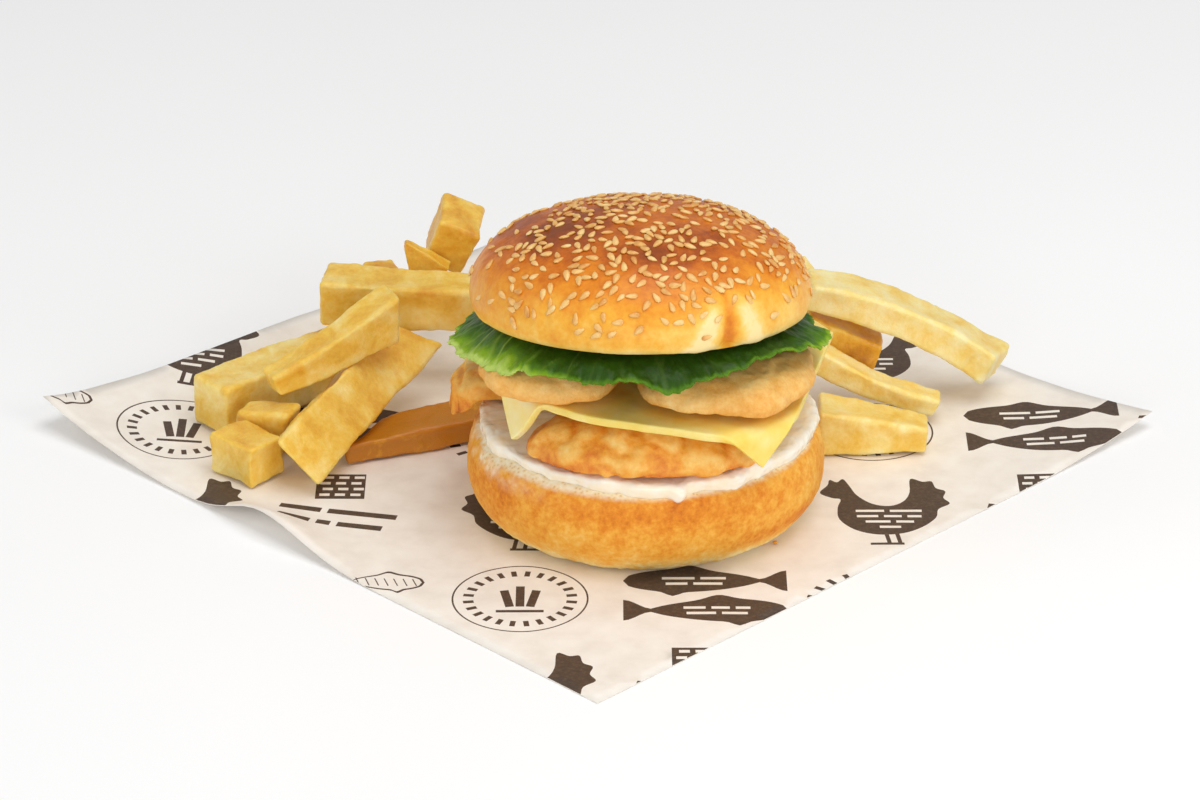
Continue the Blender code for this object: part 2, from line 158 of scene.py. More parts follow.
# battered fillet pieces: centre of the widest level, half sizes, height above and below
# it, how square the plan is (1 is an ellipse), turn about Z and roll about Y in degrees,
# how much the top rises to the front, how far the left end hangs and swings forward, how
# much it thins to the left, how far its inner front corner is drawn towards its
# neighbour, where the slow lumps start, and the size and depth of the lumps
FILLETS = {
    "chicken_lower_front": dict(
        centre=(14, -75.5, 32.4), half=(34.0, 20.0), up=11.4, down=2.2, plan=1.0, turn=0,
        roll=0, rise=0.0, hang=0.0, swing=0.0, fall=0.0, inner=0.0, lump=0.4, cell=13.0,
        groove=1.0, coat="batter"),
    "chicken_lower_back": dict(
        centre=(7, -32.5, 33.2), half=(50.5, 18.5), up=10.2, down=2.9, plan=0.72, turn=-3,
        roll=0, rise=0.0, hang=8.0, swing=5.0, fall=0.0, inner=0.0, lump=1.7, cell=12.0,
        groove=1.0, coat="batter"),
    "chicken_upper_left": dict(
        centre=(-11.5, -59.3, 52.0), half=(20.6, 28.0), up=7.0, down=2.6, plan=0.66,
        turn=-12, roll=1.5, rise=0.5, hang=0.0, swing=0.0, fall=0.42, inner=2.4, lump=2.6,
        cell=14.0, groove=0.4, coat="crumb"),
    "chicken_upper_right": dict(
        centre=(34.4, -61.8, 50.4), half=(25.0, 31.5), up=7.0, down=2.6, plan=0.8, turn=-3,
        roll=2.5, rise=0.5, hang=0.0, swing=0.0, fall=0.0, inner=-2.4, lump=4.1, cell=14.0,
        groove=0.4, coat="crumb"),
}
# base brownness of each coat, and how much painted shade darkens it in its folds and at its
# foot
COAT_BROWN_AND_SHADE = {"batter": (0.3, 0.26, 0.26), "crumb": (0.3, 0.08, 0.2)}


# ---- small helpers ---------------------------------------------------------------
def clamp01(t):
    return max(0.0, min(1.0, t))


def ease(t):
    t = clamp01(t)
    return t * t * (3 - 2 * t)


def bell(distance, spread):
    return math.exp(-(distance / spread) ** 2)


def turn_gap(a, b):
    """Smallest angle between two directions, in radians."""
    return abs(math.atan2(math.sin(a - b), math.cos(a - b)))


def towards(turn, degrees, spread):
    """1 in that direction, fading away to both sides."""
    return bell(turn_gap(turn, math.radians(degrees)), spread)


def polar(r, turn):
    return r * math.cos(turn), r * math.sin(turn)


def mottle(p, size, seed=0.0):
    """Smooth noise from about -1 to 1 with features of that size in millimetres."""
    q = Vector(p) / size + Vector((seed, seed * 1.7, seed * 0.6))
    return noise.fractal(q, 0.7, 2.1, 3)


def cells(p, size, seed=0.0):
    """0 in the grooves between rounded lumps of that size, 1 on the lumps."""
    q = Vector(p) / size + Vector((seed, seed * 0.7, seed * 1.3))
    q += 0.38 * noise.noise_vector(q * 1.7)
    near, _places = noise.voronoi(q)
    return ease((near[1] - near[0]) / 0.45)


def between(table, turn):
    """Smoothly read a round table of (degrees, value...) rows, in order of degrees."""
    deg = (math.degrees(turn) - table[0][0]) % 360 + table[0][0]
    rows = list(table) + [(table[0][0] + 360,) + tuple(table[0][1:])]
    for low, high in zip(rows, rows[1:]):
        if low[0] <= deg <= high[0]:
            share = ease((deg - low[0]) / (high[0] - low[0]))
            return [a + (b - a) * share for a, b in zip(low[1:], high[1:])]
    return list(rows[0][1:])


def keep(mesh, name, values):
    """Keep one value on each point of the mesh, for the material to read."""
    layer = mesh.attributes.new(name, "FLOAT", "POINT")
    layer.data.foreach_set("value", values)


def placed(name, data):
    """An object that holds this mesh, lamp or camera, in the scene."""
    ob = bpy.data.objects.new(name, data)
    bpy.context.scene.collection.objects.link(ob)
    return ob


def mesh_object(name, verts, faces, marks=None):
    """A smooth object from points in millimetres; marks are values kept on its points."""
    mesh = bpy.data.meshes.new(name)
    mesh.from_pydata([Vector(v) * MM for v in verts], [], faces)
    for mark_name, values in (marks or {}).items():
        keep(mesh, mark_name, values)
    mesh.shade_smooth()
    return placed(name, mesh)


def facing_out(ob):
    bm = bmesh.new()
    bm.from_mesh(ob.data)
    bmesh.ops.recalc_face_normals(bm, faces=bm.faces)
    bm.to_mesh(ob.data)
    bm.free()
    return ob


def swell(ob, height):
    """Move each point along its normal by height(point), in millimetres."""
    points = [(v.co / MM, v.normal.copy()) for v in ob.data.vertices]
    for v, (p, normal) in zip(ob.data.vertices, points):
        v.co = (p + normal * height(p)) * MM
    ob.data.update()
    return ob


def mark(ob, name, value):
    """Keep value(point in millimetres) on each point."""
    keep(ob.data, name, [value(v.co / MM) for v in ob.data.vertices])


def applied(ob):
    """The object with its modifiers turned into plain mesh."""
    deps = bpy.context.evaluated_depsgraph_get()
    deps.update()
    mesh = bpy.data.meshes.new_from_object(ob.evaluated_get(deps))
    ob.modifiers.clear()
    ob.data = mesh
    return ob


def thickened(ob, thickness, even=False):
    """Give a surface that thickness in millimetres, below it."""
    solid = ob.modifiers.new("thickness", "SOLIDIFY")
    solid.thickness = thickness * MM
    solid.offset = -1.0
    solid.use_even_offset = even
    return ob


def ring_faces(rings, spokes, closed=True):
    """Faces from a top pole down over that many rings, and in to a bottom pole if closed."""
    faces = [(0, 1 + s, 1 + (s + 1) % spokes) for s in range(spokes)]
    for ring in range(rings - 1):
        for s in range(spokes):
            a = 1 + ring * spokes + s
            b = 1 + ring * spokes + (s + 1) % spokes
            faces.append((a, a + spokes, b + spokes, b))
    if closed:
        last = 1 + rings * spokes
        foot = last - spokes
        faces += [(last, foot + (s + 1) % spokes, foot + s) for s in range(spokes)]
    return faces


def turned(name, profile, spokes, shape):
    """A closed turned body: (radius, height) pairs from the top pole to the bottom pole."""
    verts = [shape(0.0, profile[0][1], 0.0)]
    for r, z in profile[1:-1]:
        verts += [shape(r, z, 2 * math.pi * s / spokes) for s in range(spokes)]
    verts.append(shape(0.0, profile[-1][1], 0.0))
    return mesh_object(name, verts, ring_faces(len(profile) - 2, spokes))


def settle(ob, material, slot, *nodes):
    ob.data.materials.clear()
    ob.data.materials.append(material)
    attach(ob, BODY)
    if nodes:
        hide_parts(*nodes)
    return ob


# ---- materials -------------------------------------------------------------------
def linear(hex_colour):
    """sRGB hex to linear RGBA."""
    channels = [int(hex_colour[k:k + 2], 16) / 255 for k in (1, 3, 5)]
    return tuple(c / 12.92 if c <= 0.04045 else ((c + 0.055) / 1.055) ** 2.4
                 for c in channels) + (1.0,)


def per_mm(size):
    """Texture scale for features of that many millimetres."""
    return 1.0 / (size * MM)


def add(tree, kind, inputs=None, stops=None, **settings):
    """A node with its settings; an input is a value or the output that feeds it."""
    made = tree.nodes.new(kind)
    for name, value in settings.items():
        setattr(made, name, value)
    for number, (place, colour) in enumerate(stops or ()):
        ramp = made.color_ramp.elements
        stop = ramp[number] if number < 2 else ramp.new(place)
        stop.position = place
        stop.color = linear(colour)
    for socket, value in (inputs or {}).items():
        if isinstance(value, bpy.types.NodeSocket):
            tree.links.new(value, made.inputs[socket])
        else:
            made.inputs[socket].default_value = value
    return made


def surface(name, **sockets):
    """A new material: its tree, its shader and the coordinates of its piece."""
    mat = bpy.data.materials.new(name)
    mat.use_nodes = True
    tree = mat.node_tree
    tree.nodes.clear()
    skin = add(tree, "ShaderNodeBsdfPrincipled",
               {key.replace("_", " "): value for key, value in sockets.items()})
    add(tree, "ShaderNodeOutputMaterial", {"Surface": skin.outputs[0]})
    coords = add(tree, "ShaderNodeTexCoord").outputs["Object"]
    return mat, tree, skin, coords


def fractal(tree, coords, size, detail=3.0, rough=0.55, warp=0.0):
    """Noise with features of that many millimetres, 0 to 1."""
    return add(tree, "ShaderNodeTexNoise", {
        "Vector": coords, "Scale": per_mm(size), "Detail": detail, "Roughness": rough,
        "Distortion": warp}).outputs["Fac"]


def maths(tree, operation, *values):
    """One step of sums on values or outputs."""
    return add(tree, "ShaderNodeMath", dict(enumerate(values)),
               operation=operation).outputs[0]


def marked(tree, name):
    """What the piece's points keep under that name."""
    return add(tree, "ShaderNodeAttribute", attribute_name=name).outputs["Fac"]


def swung(tree, level, amount, middle=0.5):
    """Noise turned into a swing either way about its middle."""
    return maths(tree, "MULTIPLY_ADD", level, amount, -amount * middle)


def speckled(tree, marks, fine, coarse, amount):
    """A mark swung up and down by fine and coarse noise together."""
    both = maths(tree, "ADD", fine, coarse)
    return maths(tree, "ADD", marks, swung(tree, both, amount, 1.0))


def ramp(tree, level, *stops):
    """A colour read from (level, colour) stops."""
    return add(tree, "ShaderNodeValToRGB", {"Fac": level}, stops=stops).outputs[0]


def blend(tree, share, under, over, how="MIX"):
    return add(tree, "ShaderNodeMix", {0: share, 6: under, 7: over},
               data_type="RGBA", blend_type=how).outputs[2]


def finish(tree, skin, colour, strength=0.0, depth=0.0, height=None):
    """Colour the shader, and bump it by a height map that is depth millimetres deep."""
    tree.links.new(colour, skin.inputs["Base Color"])
    if height:
        bump = add(tree, "ShaderNodeBump", {
            "Strength": strength, "Distance": depth * MM, "Height": height})
        tree.links.new(bump.outputs[0], skin.inputs["Normal"])


def glow(share, red, green, blue, reach):
    """Shader sockets for light that scatters under the skin; reach is in millimetres."""
    return {"Subsurface_Weight": share, "Subsurface_Radius": (red, green, blue),
            "Subsurface_Scale": reach * MM}


def coat(share, rough):
    """Shader sockets for a clear film of oil or glaze."""
    return {"Coat_Weight": share, "Coat_Roughness": rough}


def greaseproof_paper():
    # machine-glazed greaseproof: dense warm white, a faint sheen, cloudy fibre marks
    mat, tree, skin, coords = surface("greaseproof_paper", Roughness=0.5,
                                      Specular_IOR_Level=0.35)
    cloud = fractal(tree, coords, 9.0, 4.0)
    fibre = fractal(tree, coords, 0.7, 3.0)
    tone = ramp(tree, cloud, (0.3, "#efe6da"), (0.5, "#f6eee3"), (0.7, "#faf4ea"))
    finish(tree, skin, blend(tree, 0.06, tone, fibre, "OVERLAY"), 0.25, 0.05, fibre)
    return mat


def flexo_ink():
    # water-based flexo ink: flat dark taupe with the paper's fibre just showing through
    mat, tree, skin, coords = surface("flexo_ink", Roughness=0.55,
                                      Specular_IOR_Level=0.3)
    fibre = fractal(tree, coords, 1.2, 5.0, 0.7)
    finish(tree, skin, ramp(
        tree, fibre, (0.3, "#483a30"), (0.55, "#584639"), (0.75, "#6d5a4a")))
    return mat


def egg_washed_crust():
    # enriched dough brushed with egg: tight glossy skin, gold to red-brown where it baked,
    # with painted shade in its crease and a painted highlight low on its right
    mat, tree, skin, coords = surface(
        "egg_washed_crust", Roughness=0.44, Specular_IOR_Level=0.25,
        **coat(0.14, 0.25), **glow(0.05, 1.0, 0.45, 0.2, 2.0))
    speckle = fractal(tree, coords, 1.6, 4.0, 0.6)
    blotch = fractal(tree, coords, 7.0, 3.0)
    tone = ramp(tree, speckled(tree, marked(tree, "bake"), speckle, blotch, 0.3),
                (0.02, "#fbdf9e"), (0.18, "#f8ca64"), (0.34, "#f2b03a"), (0.5, "#e68e21"),
                (0.66, "#cd6c13"), (0.82, "#a54d0d"), (0.98, "#843d0c"))
    finish(tree, skin, tone, 0.35, 0.12, fractal(tree, coords, 1.0, 4.0, 0.6))
    return mat


def soft_roll_crust():
    # unglazed roll crust: matt, finely speckled gold, with open crumb at the cut edge
    mat, tree, skin, coords = surface(
        "soft_roll_crust", Roughness=0.62, Specular_IOR_Level=0.3,
        **glow(0.1, 1.0, 0.5, 0.2, 2.0))
    speckle = fractal(tree, coords, 1.5, 5.0, 0.7)
    blotch = fractal(tree, coords, 6.0, 3.0)
    tone = ramp(tree, speckled(tree, marked(tree, "bake"), speckle, blotch, 0.54),
                (0.02, "#fbe2a4"), (0.2, "#f8ca6c"), (0.4, "#f3ae40"), (0.6, "#e68c20"),
                (0.8, "#cb6812"), (0.98, "#9c480e"))
    pores = add(tree, "ShaderNodeTexVoronoi", {"Vector": coords, "Scale": per_mm(1.3)})
    open_crumb = ramp(tree, pores.outputs["Distance"],
                      (0.05, "#e3bf86"), (0.35, "#f8e3b8"), (0.8, "#fdf1d6"))
    finish(tree, skin, blend(tree, marked(tree, "crumb"), tone, open_crumb),
           0.6, 0.2, fractal(tree, coords, 0.9, 4.0, 0.7))
    return mat


def toasted_sesame():
    # hulled sesame, lightly toasted: smooth oily ivory, a little gold towards one end
    mat, tree, skin, coords = surface(
        "toasted_sesame", Roughness=0.4, **coat(0.2, 0.25),
        **glow(0.15, 0.8, 0.5, 0.25, 1.0))
    toast = fractal(tree, coords, 4.5, 2.0)
    finish(tree, skin, ramp(tree, toast, (0.3, "#d69542"), (0.45, "#e6b162"),
                            (0.6, "#efc67c"), (0.75, "#f6d899")))
    return mat


def egg_mayonnaise():
    # oil-in-egg emulsion: thick, wet, nearly white and faintly warm
    mat, tree, skin, coords = surface(
        "egg_mayonnaise", Roughness=0.22, **coat(0.3, 0.12),
        **glow(0.12, 1.5, 1.2, 0.9, 1.0))
    tone = ramp(tree, fractal(tree, coords, 5.0, 2.0), (0.3, "#fff0d4"), (0.6, "#fff9ea"))
    finish(tree, skin, tone, 0.35, 0.25, fractal(tree, coords, 2.2, 2.0, 0.5, 0.6))
    return mat


def fried_coating(name, stops, grain, depth, rough):
    """A fried coat: darker in its grooves with painted shade, with grains of that size in
    millimetres.
    """
    mat, tree, skin, coords = surface(
        name, Roughness=rough, Specular_IOR_Level=0.4, **coat(0.12, 0.3),
        **glow(0.12, 1.0, 0.45, 0.15, 2.0))
    speckle = fractal(tree, coords, grain, 5.0, 0.7)
    blotch = fractal(tree, coords, 5.5, 3.0, 0.6, 0.5)
    level = speckled(tree, marked(tree, "brown_and_shade"), speckle, blotch, 0.5)
    finish(tree, skin, ramp(tree, level, *stops), 0.8, depth, speckle)
    return mat


def fried_batter():
    # flour-and-water batter off the fryer: lumpy gold, with painted orange-brown shade in
    # its folds
    return fried_coating("fried_batter", (
        (0.0, "#fbe0a0"), (0.25, "#f8c768"), (0.5, "#f2a638"), (0.72, "#de7c1c"),
        (0.95, "#ae5212")), 1.8, 0.35, 0.5)


def fine_crumb_coat():
    # fine breadcrumb: sandy tan, matt, each crumb under a millimetre
    return fried_coating("fine_crumb_coat", (
        (0.0, "#fbdc9c"), (0.25, "#f6c672"), (0.5, "#eba94a"), (0.75, "#d78329"),
        (0.98, "#a25916")), 1.0, 0.28, 0.65)


def mild_cheese():
    # pressed cow's milk cheese slice: waxy, pale yellow, a little light passes through
    mat, tree, skin, coords = surface(
        "mild_cheese", Roughness=0.4, Specular_IOR_Level=0.45,
        **glow(0.3, 2.0, 1.2, 0.4, 2.5))
    # painted highlight: the slice is paler towards its front left, where the light falls
    tone_and_highlight = maths(tree, "ADD", marked(tree, "painted_highlight"), fractal(tree, coords, 9.0, 3.0))
    tone = ramp(tree, tone_and_highlight, (0.3, "#f8cf55"), (0.5, "#fadb72"), (0.7, "#fce590"),
                (1.0, "#fff4c2"))
    finish(tree, skin, tone, 0.2, 0.1, fractal(tree, coords, 3.0, 2.0))
    return mat


def cos_lettuce():
    # a washed cos leaf: waxy deep green, brighter to its edge, pale raised veins; deepest
    # green in under the crown, partly its own colour and partly painted shade
    mat, tree, skin, coords = surface(
        "cos_lettuce", Roughness=0.42, Specular_IOR_Level=0.22,
        **glow(0.08, 0.5, 1.0, 0.2, 1.0))
    patch = fractal(tree, coords, 4.0, 4.0, 0.6)
    # the ramp runs from painted shade in under the crown out to the bright rim
    level = maths(tree, "ADD", marked(tree, "leaf_tone_and_shade"), swung(tree, patch, 0.5))
    tone = ramp(tree, level, (0.0, "#1a3602"), (0.3, "#2e5404"), (0.55, "#548008"),
                (0.78, "#86ac18"), (0.97, "#bcd468"))
    finish(tree, skin, blend(tree, marked(tree, "vein"), tone, linear("#a8c65e")),
           0.6, 0.4, fractal(tree, coords, 2.4, 3.0, 0.5))
    return mat


def fried_potato():
    # thick-cut potato fried once: soft gold skin, paler on its cut edges, a film of oil
    mat, tree, skin, coords = surface(
        "fried_potato", Roughness=0.42, Specular_IOR_Level=0.45, **coat(0.15, 0.25),
        **glow(0.3, 2.2, 1.2, 0.3, 2.0))
    patch = fractal(tree, coords, 9.0, 4.0, 0.6, 0.4)
    speckle = fractal(tree, coords, 1.4, 4.0, 0.65)
    swing = maths(tree, "ADD", swung(tree, patch, 0.95), swung(tree, speckle, 0.3))
    tone = ramp(tree, maths(tree, "ADD", marked(tree, "fry_and_shade"), swing),
                (0.0, "#fdedb2"), (0.22, "#f9dd86"), (0.45, "#f2c650"), (0.68, "#e3a62c"),
                (0.9, "#c07a12"))
    finish(tree, skin, tone, 0.8, 0.35, fractal(tree, coords, 1.6, 4.0, 0.6))
    return mat


# ---- the sheet and its print -------------------------------------------------------
def sheet_height(x, y):
    """Underside of the laid sheet above the table."""
    curl_left = clamp01((-x - 104.0) / (HALF_DIAGONAL - 104.0))
    curl_right = clamp01((x - 120.0) / (HALF_DIAGONAL - 120.0))
    z = CORNER_LIFT_LEFT * curl_left ** 2.4 + CORNER_LIFT_RIGHT * curl_right ** 2
    # one ridge that runs in from the front-left edge and dies away
    inward = (HALF_DIAGONAL + x + y) / math.sqrt(2)
    along = clamp01((y - x - HALF_DIAGONAL) / (2 * HALF_DIAGONAL) + 1.0)
    spread = 0.10 if along < 0.585 else 0.075
    z += RIDGE_HEIGHT * bell(along - 0.585, spread) * bell(inward, 9.0)
    # the back-left edge stands a little off the table
    inward = (HALF_DIAGONAL + x - y) / math.sqrt(2)
    along = clamp01((x + y + HALF_DIAGONAL) / (2 * HALF_DIAGONAL))
    z += BACK_EDGE_LIFT * bell(along - 0.3, 0.22) * bell(inward, 11.0) * ease(along / 0.12)
    return z if z > 0.02 else 0.0


def circle(cx, cy, r, steps=48):
    ring = (polar(r, 2 * math.pi * k / steps) for k in range(steps))
    return [(cx + x, cy + y) for x, y in ring]


def block(cx, cy, width, height, lean=0.0):
    """A rectangle turned by lean radians."""
    c, s = math.cos(lean), math.sin(lean)
    corners = ((-1, -1), (1, -1), (1, 1), (-1, 1))
    return [(cx + i * width / 2 * c - j * height / 2 * s,
             cy + i * width / 2 * s + j * height / 2 * c) for i, j in corners]


def dashes(cx, cy, lengths, height, gap=1.6, lean=0.0):
    """A row of short bars, centred, that stands where a printed line would."""
    total = sum(lengths) + gap * (len(lengths) - 1)
    row, x = [], -total / 2
    for length in lengths:
        middle = x + length / 2
        row.append(block(cx + middle * math.cos(lean), cy + middle * math.sin(lean),
                         length, height, lean))
        x += length + gap
    return row


def ring_of_bars(cx, cy, radius, count, length, height, first=0.0):
    """Bars on a circle, each along its radius; first is how far along the first one is."""
    ring = []
    for k in range(count):
        angle = 2 * math.pi * (k + first) / count
        x, y = polar(radius, angle)
        ring.append(block(cx + x, cy + y, length, height, angle))
    return ring


def rounded_outline(points, steps=4):
    """A closed outline eased through its points."""
    out, count = [], len(points)
    for k in range(count):
        p0, p1, p2, p3 = (points[(k + j - 1) % count] for j in range(4))
        for step in range(steps):
            t = step / steps
            out.append(tuple(
                0.5 * (2 * b + (c - a) * t + (2 * a - 5 * b + 4 * c - d) * t * t
                       + (3 * b - a - 3 * c + d) * t ** 3)
                for a, b, c, d in zip(p0, p1, p2, p3)))
    return out


HEN = ((-17.5, 11.5), (-15.2, 16), (-14.4, 19.5), (-12.4, 18), (-10.6, 20), (-9, 16),
       (-7, 10), (-3, 5), (2, 3.6), (6, 6.5), (8, 12), (8.6, 20), (12, 18.4), (14.6, 18.6),
       (15.6, 14.6), (18.2, 12.6), (17.4, 8.6), (19, 5), (15.6, 1.6), (14.6, -3.5),
       (10.5, -9), (5, -12.8), (-2, -13.6), (-8.5, -10.6), (-12.6, -4.5), (-12.8, 2.5),
       (-11.8, 7.5), (-14.2, 8.4))


def hen(cx, cy, facing):
    """A plain hen, 37 mm long; facing is 1 to the left and -1 to the right."""
    body = rounded_outline([(cx + facing * x, cy + y) for x, y in HEN])
    legs = [block(cx + facing * x, cy - 16, 1.2, 6.5, facing * 0.12) for x in (0.5, 3.5)]
    feet = [block(cx + facing * (x - 1.5), cy - 19, 6.0, 1.3) for x in (0.0, 3.4)]
    wing = []
    for row, lengths in enumerate(((8, 9), (6, 5, 4), (7, 5), (6,))):
        wing += dashes(cx + facing * 1.5, cy + 0.6 - 3.2 * row, lengths, 1.3)
    return [body] + legs + feet, wing


def fish_half(t):
    """Half thickness along a fish: nose at 0, tail fin at 1."""
    body = 5.6 * math.sin(math.pi * clamp01(t / 0.82) ** 0.8) ** 0.7 if t < 0.82 else 0.0
    return body + 0.9 + 5.0 * ease((t - 0.83) / 0.17) - 0.9 * (t < 0.001)


def fish(cx, cy, facing, length=45.0, size=1.0):
    """Outline of a fish; facing is 1 with its nose to the left and -1 to the right."""
    steps = 30
    upper, lower = [], []
    for k in range(steps + 1):
        t = k / steps
        x = cx + facing * length * (t - 0.5)
        upper.append((x, cy + size * (fish_half(t) + 2.4 * bell(t - 0.42, 0.09))))
        lower.append((x, cy - size * (fish_half(t) + 2.2 * bell(t - 0.3, 0.05))))
    return upper + lower[::-1]


def fish_pair(cx, cy):
    solids = [fish(cx, cy + 8.4, 1), fish(cx, cy - 8.4, -1)]
    knocked = dashes(cx - 3, cy + 9.9, (9, 7), 1.4) + dashes(cx - 3, cy + 6.8, (6, 8), 1.4)
    knocked += dashes(cx + 3, cy - 6.9, (6, 5, 4), 1.4)
    knocked += dashes(cx + 3, cy - 10.0, (8, 7), 1.4)
    return solids, knocked


def stamp(cx, cy):
    """A thin ring with dashes round it and three chips in the middle."""
    solids = [circle(cx, cy, 18.7, 96)]
    knocked = [circle(cx, cy, 18.2, 96)]
    ring = ring_of_bars(cx, cy, 14.2, 24, 2.9, 1.5, 0.5)
    chips = [block(cx - 3.6, cy, 2.4, 9.5, 0.18), block(cx, cy + 1.2, 2.4, 11.5),
             block(cx + 3.6, cy, 2.4, 9.5, -0.18), block(cx, cy - 7.2, 13.0, 1.4)]
    return solids, knocked, ring + chips


def basket(cx, cy):
    """A small woven basket over two rows of dashes."""
    lean = -0.22
    solids = [block(cx, cy, 14.0, 15.0)]
    knocked = []
    for row in range(4):
        for col in range(3):
            knocked.append(block(cx - 4.4 + 4.4 * col + (row % 2) * 0.8, cy - 5 + 3.5 * row,
                                 2.9, 1.5))
    lines = dashes(cx, cy - 15.5, (12, 20), 2.8, 2.0, lean)
    lines += dashes(cx - 2, cy - 22.5, (9, 4, 13), 2.8, 2.0, lean)
    return solids, knocked, lines


def drawn_fish(cx, cy):
    """A small fish in line only."""
    solids = [fish(cx, cy, -1, 24.0, 0.72)]
    knocked = [fish(cx, cy, -1, 22.4, 0.6)]
    hatch = [block(cx - 9 + 2.6 * k, cy, 0.35, 4.2, 0.3) for k in range(8)]
    return solids, knocked, hatch


def scallop(cx, cy):
    """A ring of dashes."""
    return ring_of_bars(cx, cy, 18, 22, 3.2, 1.6), []


PRINT_STEP_X, PRINT_STEP_Y = 100.0, 101.0      # the pattern repeats along both diagonals
MOTIF_REACH = 34                               # no motif reaches farther, in |x| + |y|
PRINTS = (                                     # motif and its first place
    (stamp, (-21.2, -104.3)),
    (lambda x, y: hen(x, y, 1), (80.5, -53.5)),
    (lambda x, y: hen(x, y, -1), (-19.5, -57.0)),
    (fish_pair, (29.4, -102.5)),
    (basket, (-73.2, -38.0)),
    (drawn_fish, (-59.5, -95.0)),
    (scallop, (76.0, -108.5)),
)


def printed_motifs():
    """Every motif that reaches the sheet, as (solid outlines, knocked-out outlines)."""
    motifs = []
    for draw, (x0, y0) in PRINTS:
        for i in range(-3, 4):
            for j in range(-3, 4):
                x = x0 + PRINT_STEP_X * (i - j)
                y = y0 + PRINT_STEP_Y * (i + j)
                if abs(x) + abs(y) > HALF_DIAGONAL + MOTIF_REACH:
                    continue
                solids, knocked, *over = draw(x, y)
                motifs.append((solids, knocked))
                motifs += [(outlines, []) for outlines in over]
    return motifs


def inside(outline, x, y):
    odd, count = False, len(outline)
    for k in range(count):
        (ax, ay), (bx, by) = outline[k], outline[(k + 1) % count]
        if (ay > y) != (by > y) and x < ax + (bx - ax) * (y - ay) / (by - ay):
            odd = not odd
    return odd


def sheet_grid():
    """Border points in order, and the points inside, of a square grid turned 45 degrees."""
    half = SHEET_SIDE / 2
    lines = [-half + SHEET_SIDE / SHEET_CELLS * k for k in range(SHEET_CELLS)]

    def laid(u, v):
        return (u - v) / math.sqrt(2), (u + v) / math.sqrt(2)

    border = [laid(u, -half) for u in lines] + [laid(half, v) for v in lines]
    border += [laid(-u, half) for u in lines] + [laid(-half, -v) for v in lines]
    return border, [laid(u, v) for u in lines[1:] for v in lines[1:]]


def sheet_plan():
    """The flat sheet cut up along its print: points, triangles, and 1 where inked."""
    motifs = printed_motifs()
    border, middle = sheet_grid()
    points, edges = [], []
    for outline in [border] + [o for pair in motifs for group in pair for o in group]:
        start, count = len(points), len(outline)
        points.extend(Vector(p) for p in outline)
        edges.extend((start + k, start + (k + 1) % count) for k in range(count))
    points.extend(Vector(p) for p in middle)
    flat, _edges, faces, *_rest = delaunay_2d_cdt(points, edges, [], 0, 0.0005)

    boxes = []
    for solids, knocked in motifs:
        xs = [p[0] for o in solids for p in o]
        ys = [p[1] for o in solids for p in o]
        boxes.append((min(xs), max(xs), min(ys), max(ys), solids, knocked))

    def inked(x, y):
        return any(x0 <= x <= x1 and y0 <= y <= y1
                   and any(inside(o, x, y) for o in solids)
                   and not any(inside(o, x, y) for o in knocked)
                   for x0, x1, y0, y1, solids, knocked in boxes)

    triangles, inks = [], []
    for face in faces:
        x = sum(flat[k][0] for k in face) / 3
        y = sum(flat[k][1] for k in face) / 3
        if abs(x) + abs(y) < HALF_DIAGONAL - 0.001:
            triangles.append(tuple(face))
            inks.append(1 if inked(x, y) else 0)
    return flat, triangles, inks


def make_sheet():
    flat, top_faces, inks = sheet_plan()
    count = len(flat)
    verts = []
    for drop in (0.0, PAPER_THICK):
        for x, y in flat:
            ripple = 0.13 * mottle((x, y, 0), 26.0)
            verts.append((x, y, sheet_height(x, y) + SHEET_TOP + ripple - drop))
    sides = dict.fromkeys(edge for a, b, c in top_faces
                          for edge in ((a, b), (b, c), (c, a)))
    rim = [edge for edge in sides if edge[::-1] not in sides]
    under = [(c + count, b + count, a + count) for a, b, c in top_faces]
    hem = [(b, a, a + count, b + count) for a, b in rim]
    ob = mesh_object("greaseproof_sheet", verts, top_faces + under + hem)
    ob.data.materials.append(greaseproof_paper())
    ob.data.materials.append(flexo_ink())
    ob.data.polygons.foreach_set(
        "material_index", inks + [0] * (len(under) + len(hem)))
    bm = bmesh.new()
    bm.from_mesh(ob.data)
    loose = [v for v in bm.verts if not v.link_faces]
    bmesh.ops.delete(bm, geom=loose, context="VERTS")
    bm.to_mesh(ob.data)
    bm.free()
    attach(ob, BODY)
    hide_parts("paper")


# ---- the bun -----------------------------------------------------------------------
def heel_profile():
    """Cut face, rounded cut edge, widest belt, then the pale foot curving under."""
    points = [(HEEL_FLAT_RADIUS * k / 24, HEEL_HEIGHT) for k in range(25)]
    for k in range(1, 5):
        t = k / 4
        points.append((HEEL_FLAT_RADIUS + (HEEL_CUT_RADIUS - HEEL_FLAT_RADIUS) * t,
                       HEEL_HEIGHT - 1.2 * t ** 1.6))
    for k in range(1, 33):
        t = k / 32
        z = HEEL_HEIGHT - 1.2 - (HEEL_HEIGHT - 1.2 - HEEL_WIDEST_Z) * t
        bulge = math.sqrt(max(0.0, 1 - (1 - t) ** 2))
        points.append((HEEL_CUT_RADIUS + (HEEL_RADIUS - HEEL_CUT_RADIUS) * bulge, z))
    for k in range(1, 41):
        angle = k / 40 * math.pi / 2
        r = HEEL_FOOT_RADIUS + (HEEL_RADIUS - HEEL_FOOT_RADIUS) * math.cos(angle) ** 0.9
        points.append((r, 0.3 + (HEEL_WIDEST_Z - 0.3) * (1 - math.sin(angle))))
    points += [(HEEL_FOOT_RADIUS * (1 - k / 10), 0.3) for k in range(1, 11)]
    return points


def heel_grow(turn):
    return 1 + 0.006 * math.sin(2 * turn + 0.7) + 0.005 * math.sin(3 * turn + 2.0)


